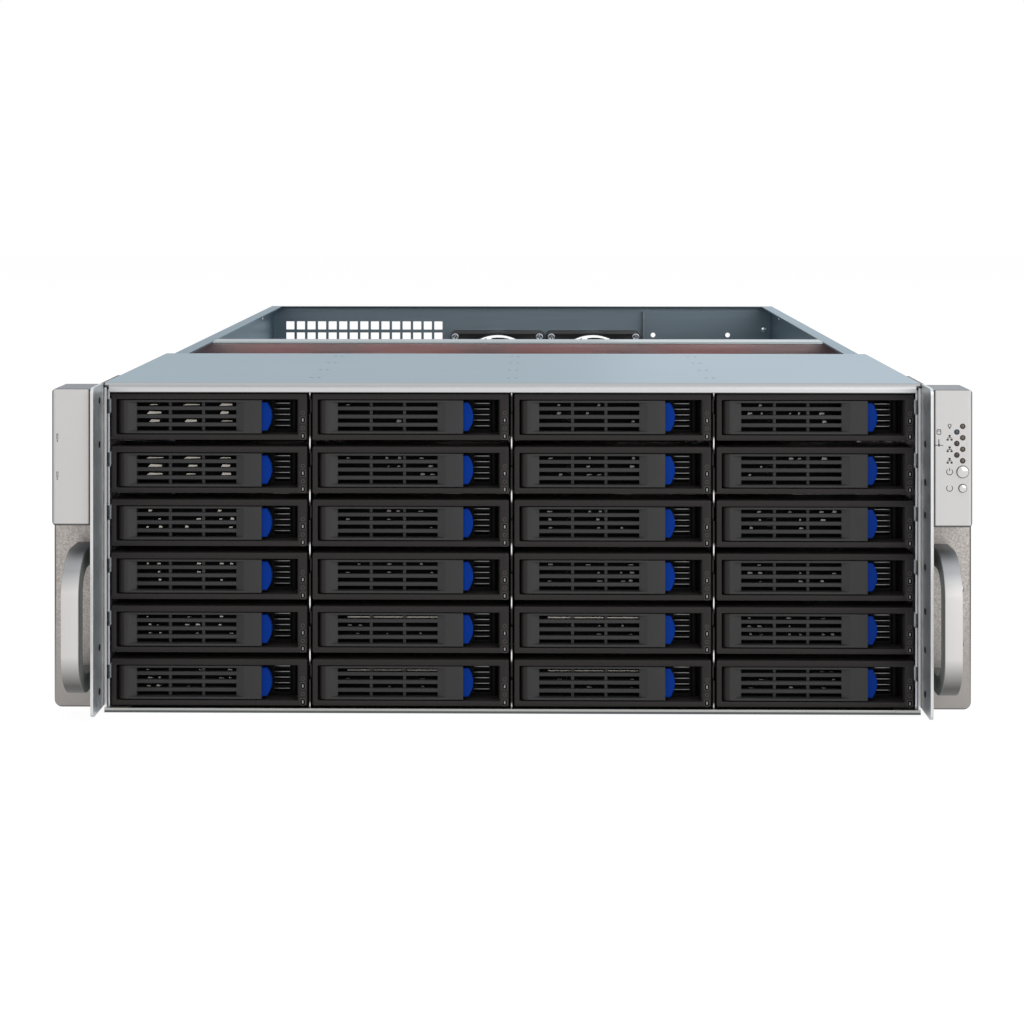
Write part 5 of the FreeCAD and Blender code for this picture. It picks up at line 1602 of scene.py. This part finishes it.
@dataclass
class Studio:
    """Pale floor, soft lamps, white surroundings and the photograph's camera."""

    eye: Point3 = (0.01364, -1.40876, 0.28235)
    yaw: float = 0.718
    pitch: float = 0.076
    lens: float = 71.38
    sensor: float = 36.0
    rise: float = -0.3240
    ambient: float = 0.36
    reach: float = 6.0
    drop: float = 0.0005
    glow: float = 1.22
    glow_share: float = 0.75
    lamps: tuple[Lamp, ...] = (
        Lamp("key", (1.15, -1.5, 1.1), (0.0, -0.2, 0.08), 2.4, 20.0),
        Lamp("fill", (-1.6, -1.6, 1.2), (0.0, -0.2, 0.08), 2.2, 4.0, (1.0, 0.92, 0.88)),
        Lamp("top", (0.0, 0.1, 1.9), (0.0, 0.0, 0.0), 2.6, 11.0),
        Lamp("rear", (0.8, 1.9, 0.6), (0.1, -0.25, 0.17), 1.4, 2.0))

    def seen_white(self, nodes: ShaderTree) -> Wire:
        """A factor of 1 for rays from the camera, in mirrors and through glass.

        Args:
            nodes: Shader nodes that it is added to.

        Returns:
            The factor.
        """
        seen = nodes.node("LightPath", {}, {}, "Is Camera Ray")
        for name in ("Is Glossy Ray", "Is Transmission Ray"):
            ray = nodes.node("LightPath", {}, {}, name)
            seen = nodes.node("Math", {"operation": "MAXIMUM"}, {0: seen, 1: ray})
        return seen

    def surroundings(self) -> None:
        """White world, bright to the camera and dimmer as a light."""
        world = bpy.data.worlds.new("surroundings")
        world.use_nodes = True
        bpy.context.scene.world = world
        nodes = ShaderTree(world.node_tree)
        level = nodes.node("MapRange", {}, {"Value": self.seen_white(nodes), "To Min": self.ambient,
                                            "To Max": 1.0})
        sky = nodes.tree.nodes["Background"]
        feed(nodes.tree, sky.inputs["Strength"], level)
        feed(nodes.tree, sky.inputs["Color"], (1.0, 1.0, 1.0, 1.0))

    def floor(self) -> None:
        """Pale floor that looks white and keeps a soft shadow."""
        mesh = bpy.data.meshes.new("floor")
        end = self.reach
        mesh.from_pydata([(-end, -end, 0), (end, -end, 0), (end, end, 0), (-end, end, 0)], [], [(0, 1, 2, 3)])
        made = bpy.data.objects.new("floor", mesh)
        made.location.z = -self.drop
        bpy.context.scene.collection.objects.link(made)
        paint = Surface("floor", Base_Color=(*even(0.85), 1.0), Roughness=0.9, Specular_IOR_Level=0.0)
        glow = paint.node("Emission", {}, {"Strength": self.glow})
        share = self.seen_white(paint) * self.glow_share
        mix = paint.node("MixShader", {}, {0: share, 1: paint.shader.outputs[0], 2: glow})
        feed(paint.tree, paint.tree.nodes["Material Output"].inputs["Surface"], mix)
        mesh.materials.append(paint.material)

    def camera(self) -> None:
        """Camera at the photograph's place, its upright edges kept parallel by a shift."""
        data = bpy.data.cameras.new("camera")
        data.lens = self.lens
        data.sensor_width = self.sensor
        data.shift_y = self.rise
        made = bpy.data.objects.new("camera", data)
        made.location = self.eye
        made.rotation_euler = (math.radians(90.0 - self.pitch), 0.0, math.radians(self.yaw))
        bpy.context.scene.collection.objects.link(made)
        bpy.context.scene.camera = made

    def build(self) -> None:
        """Set up the whole stage."""
        bpy.context.scene.view_settings.view_transform = "Standard"
        self.surroundings()
        self.floor()
        for lamp in self.lamps:
            lamp.hang()
        self.camera()


def main() -> None:
    """Build the pieces in order."""
    logging.basicConfig(level=logging.INFO, format="%(name)s %(message)s")
    Shell().build()
    TrayBank().build()
    EarControls().build()
    PullHandles().build()
    Fasteners().build()
    FanSet().build()
    Studio().build()


if __name__ == "__main__":
    main()
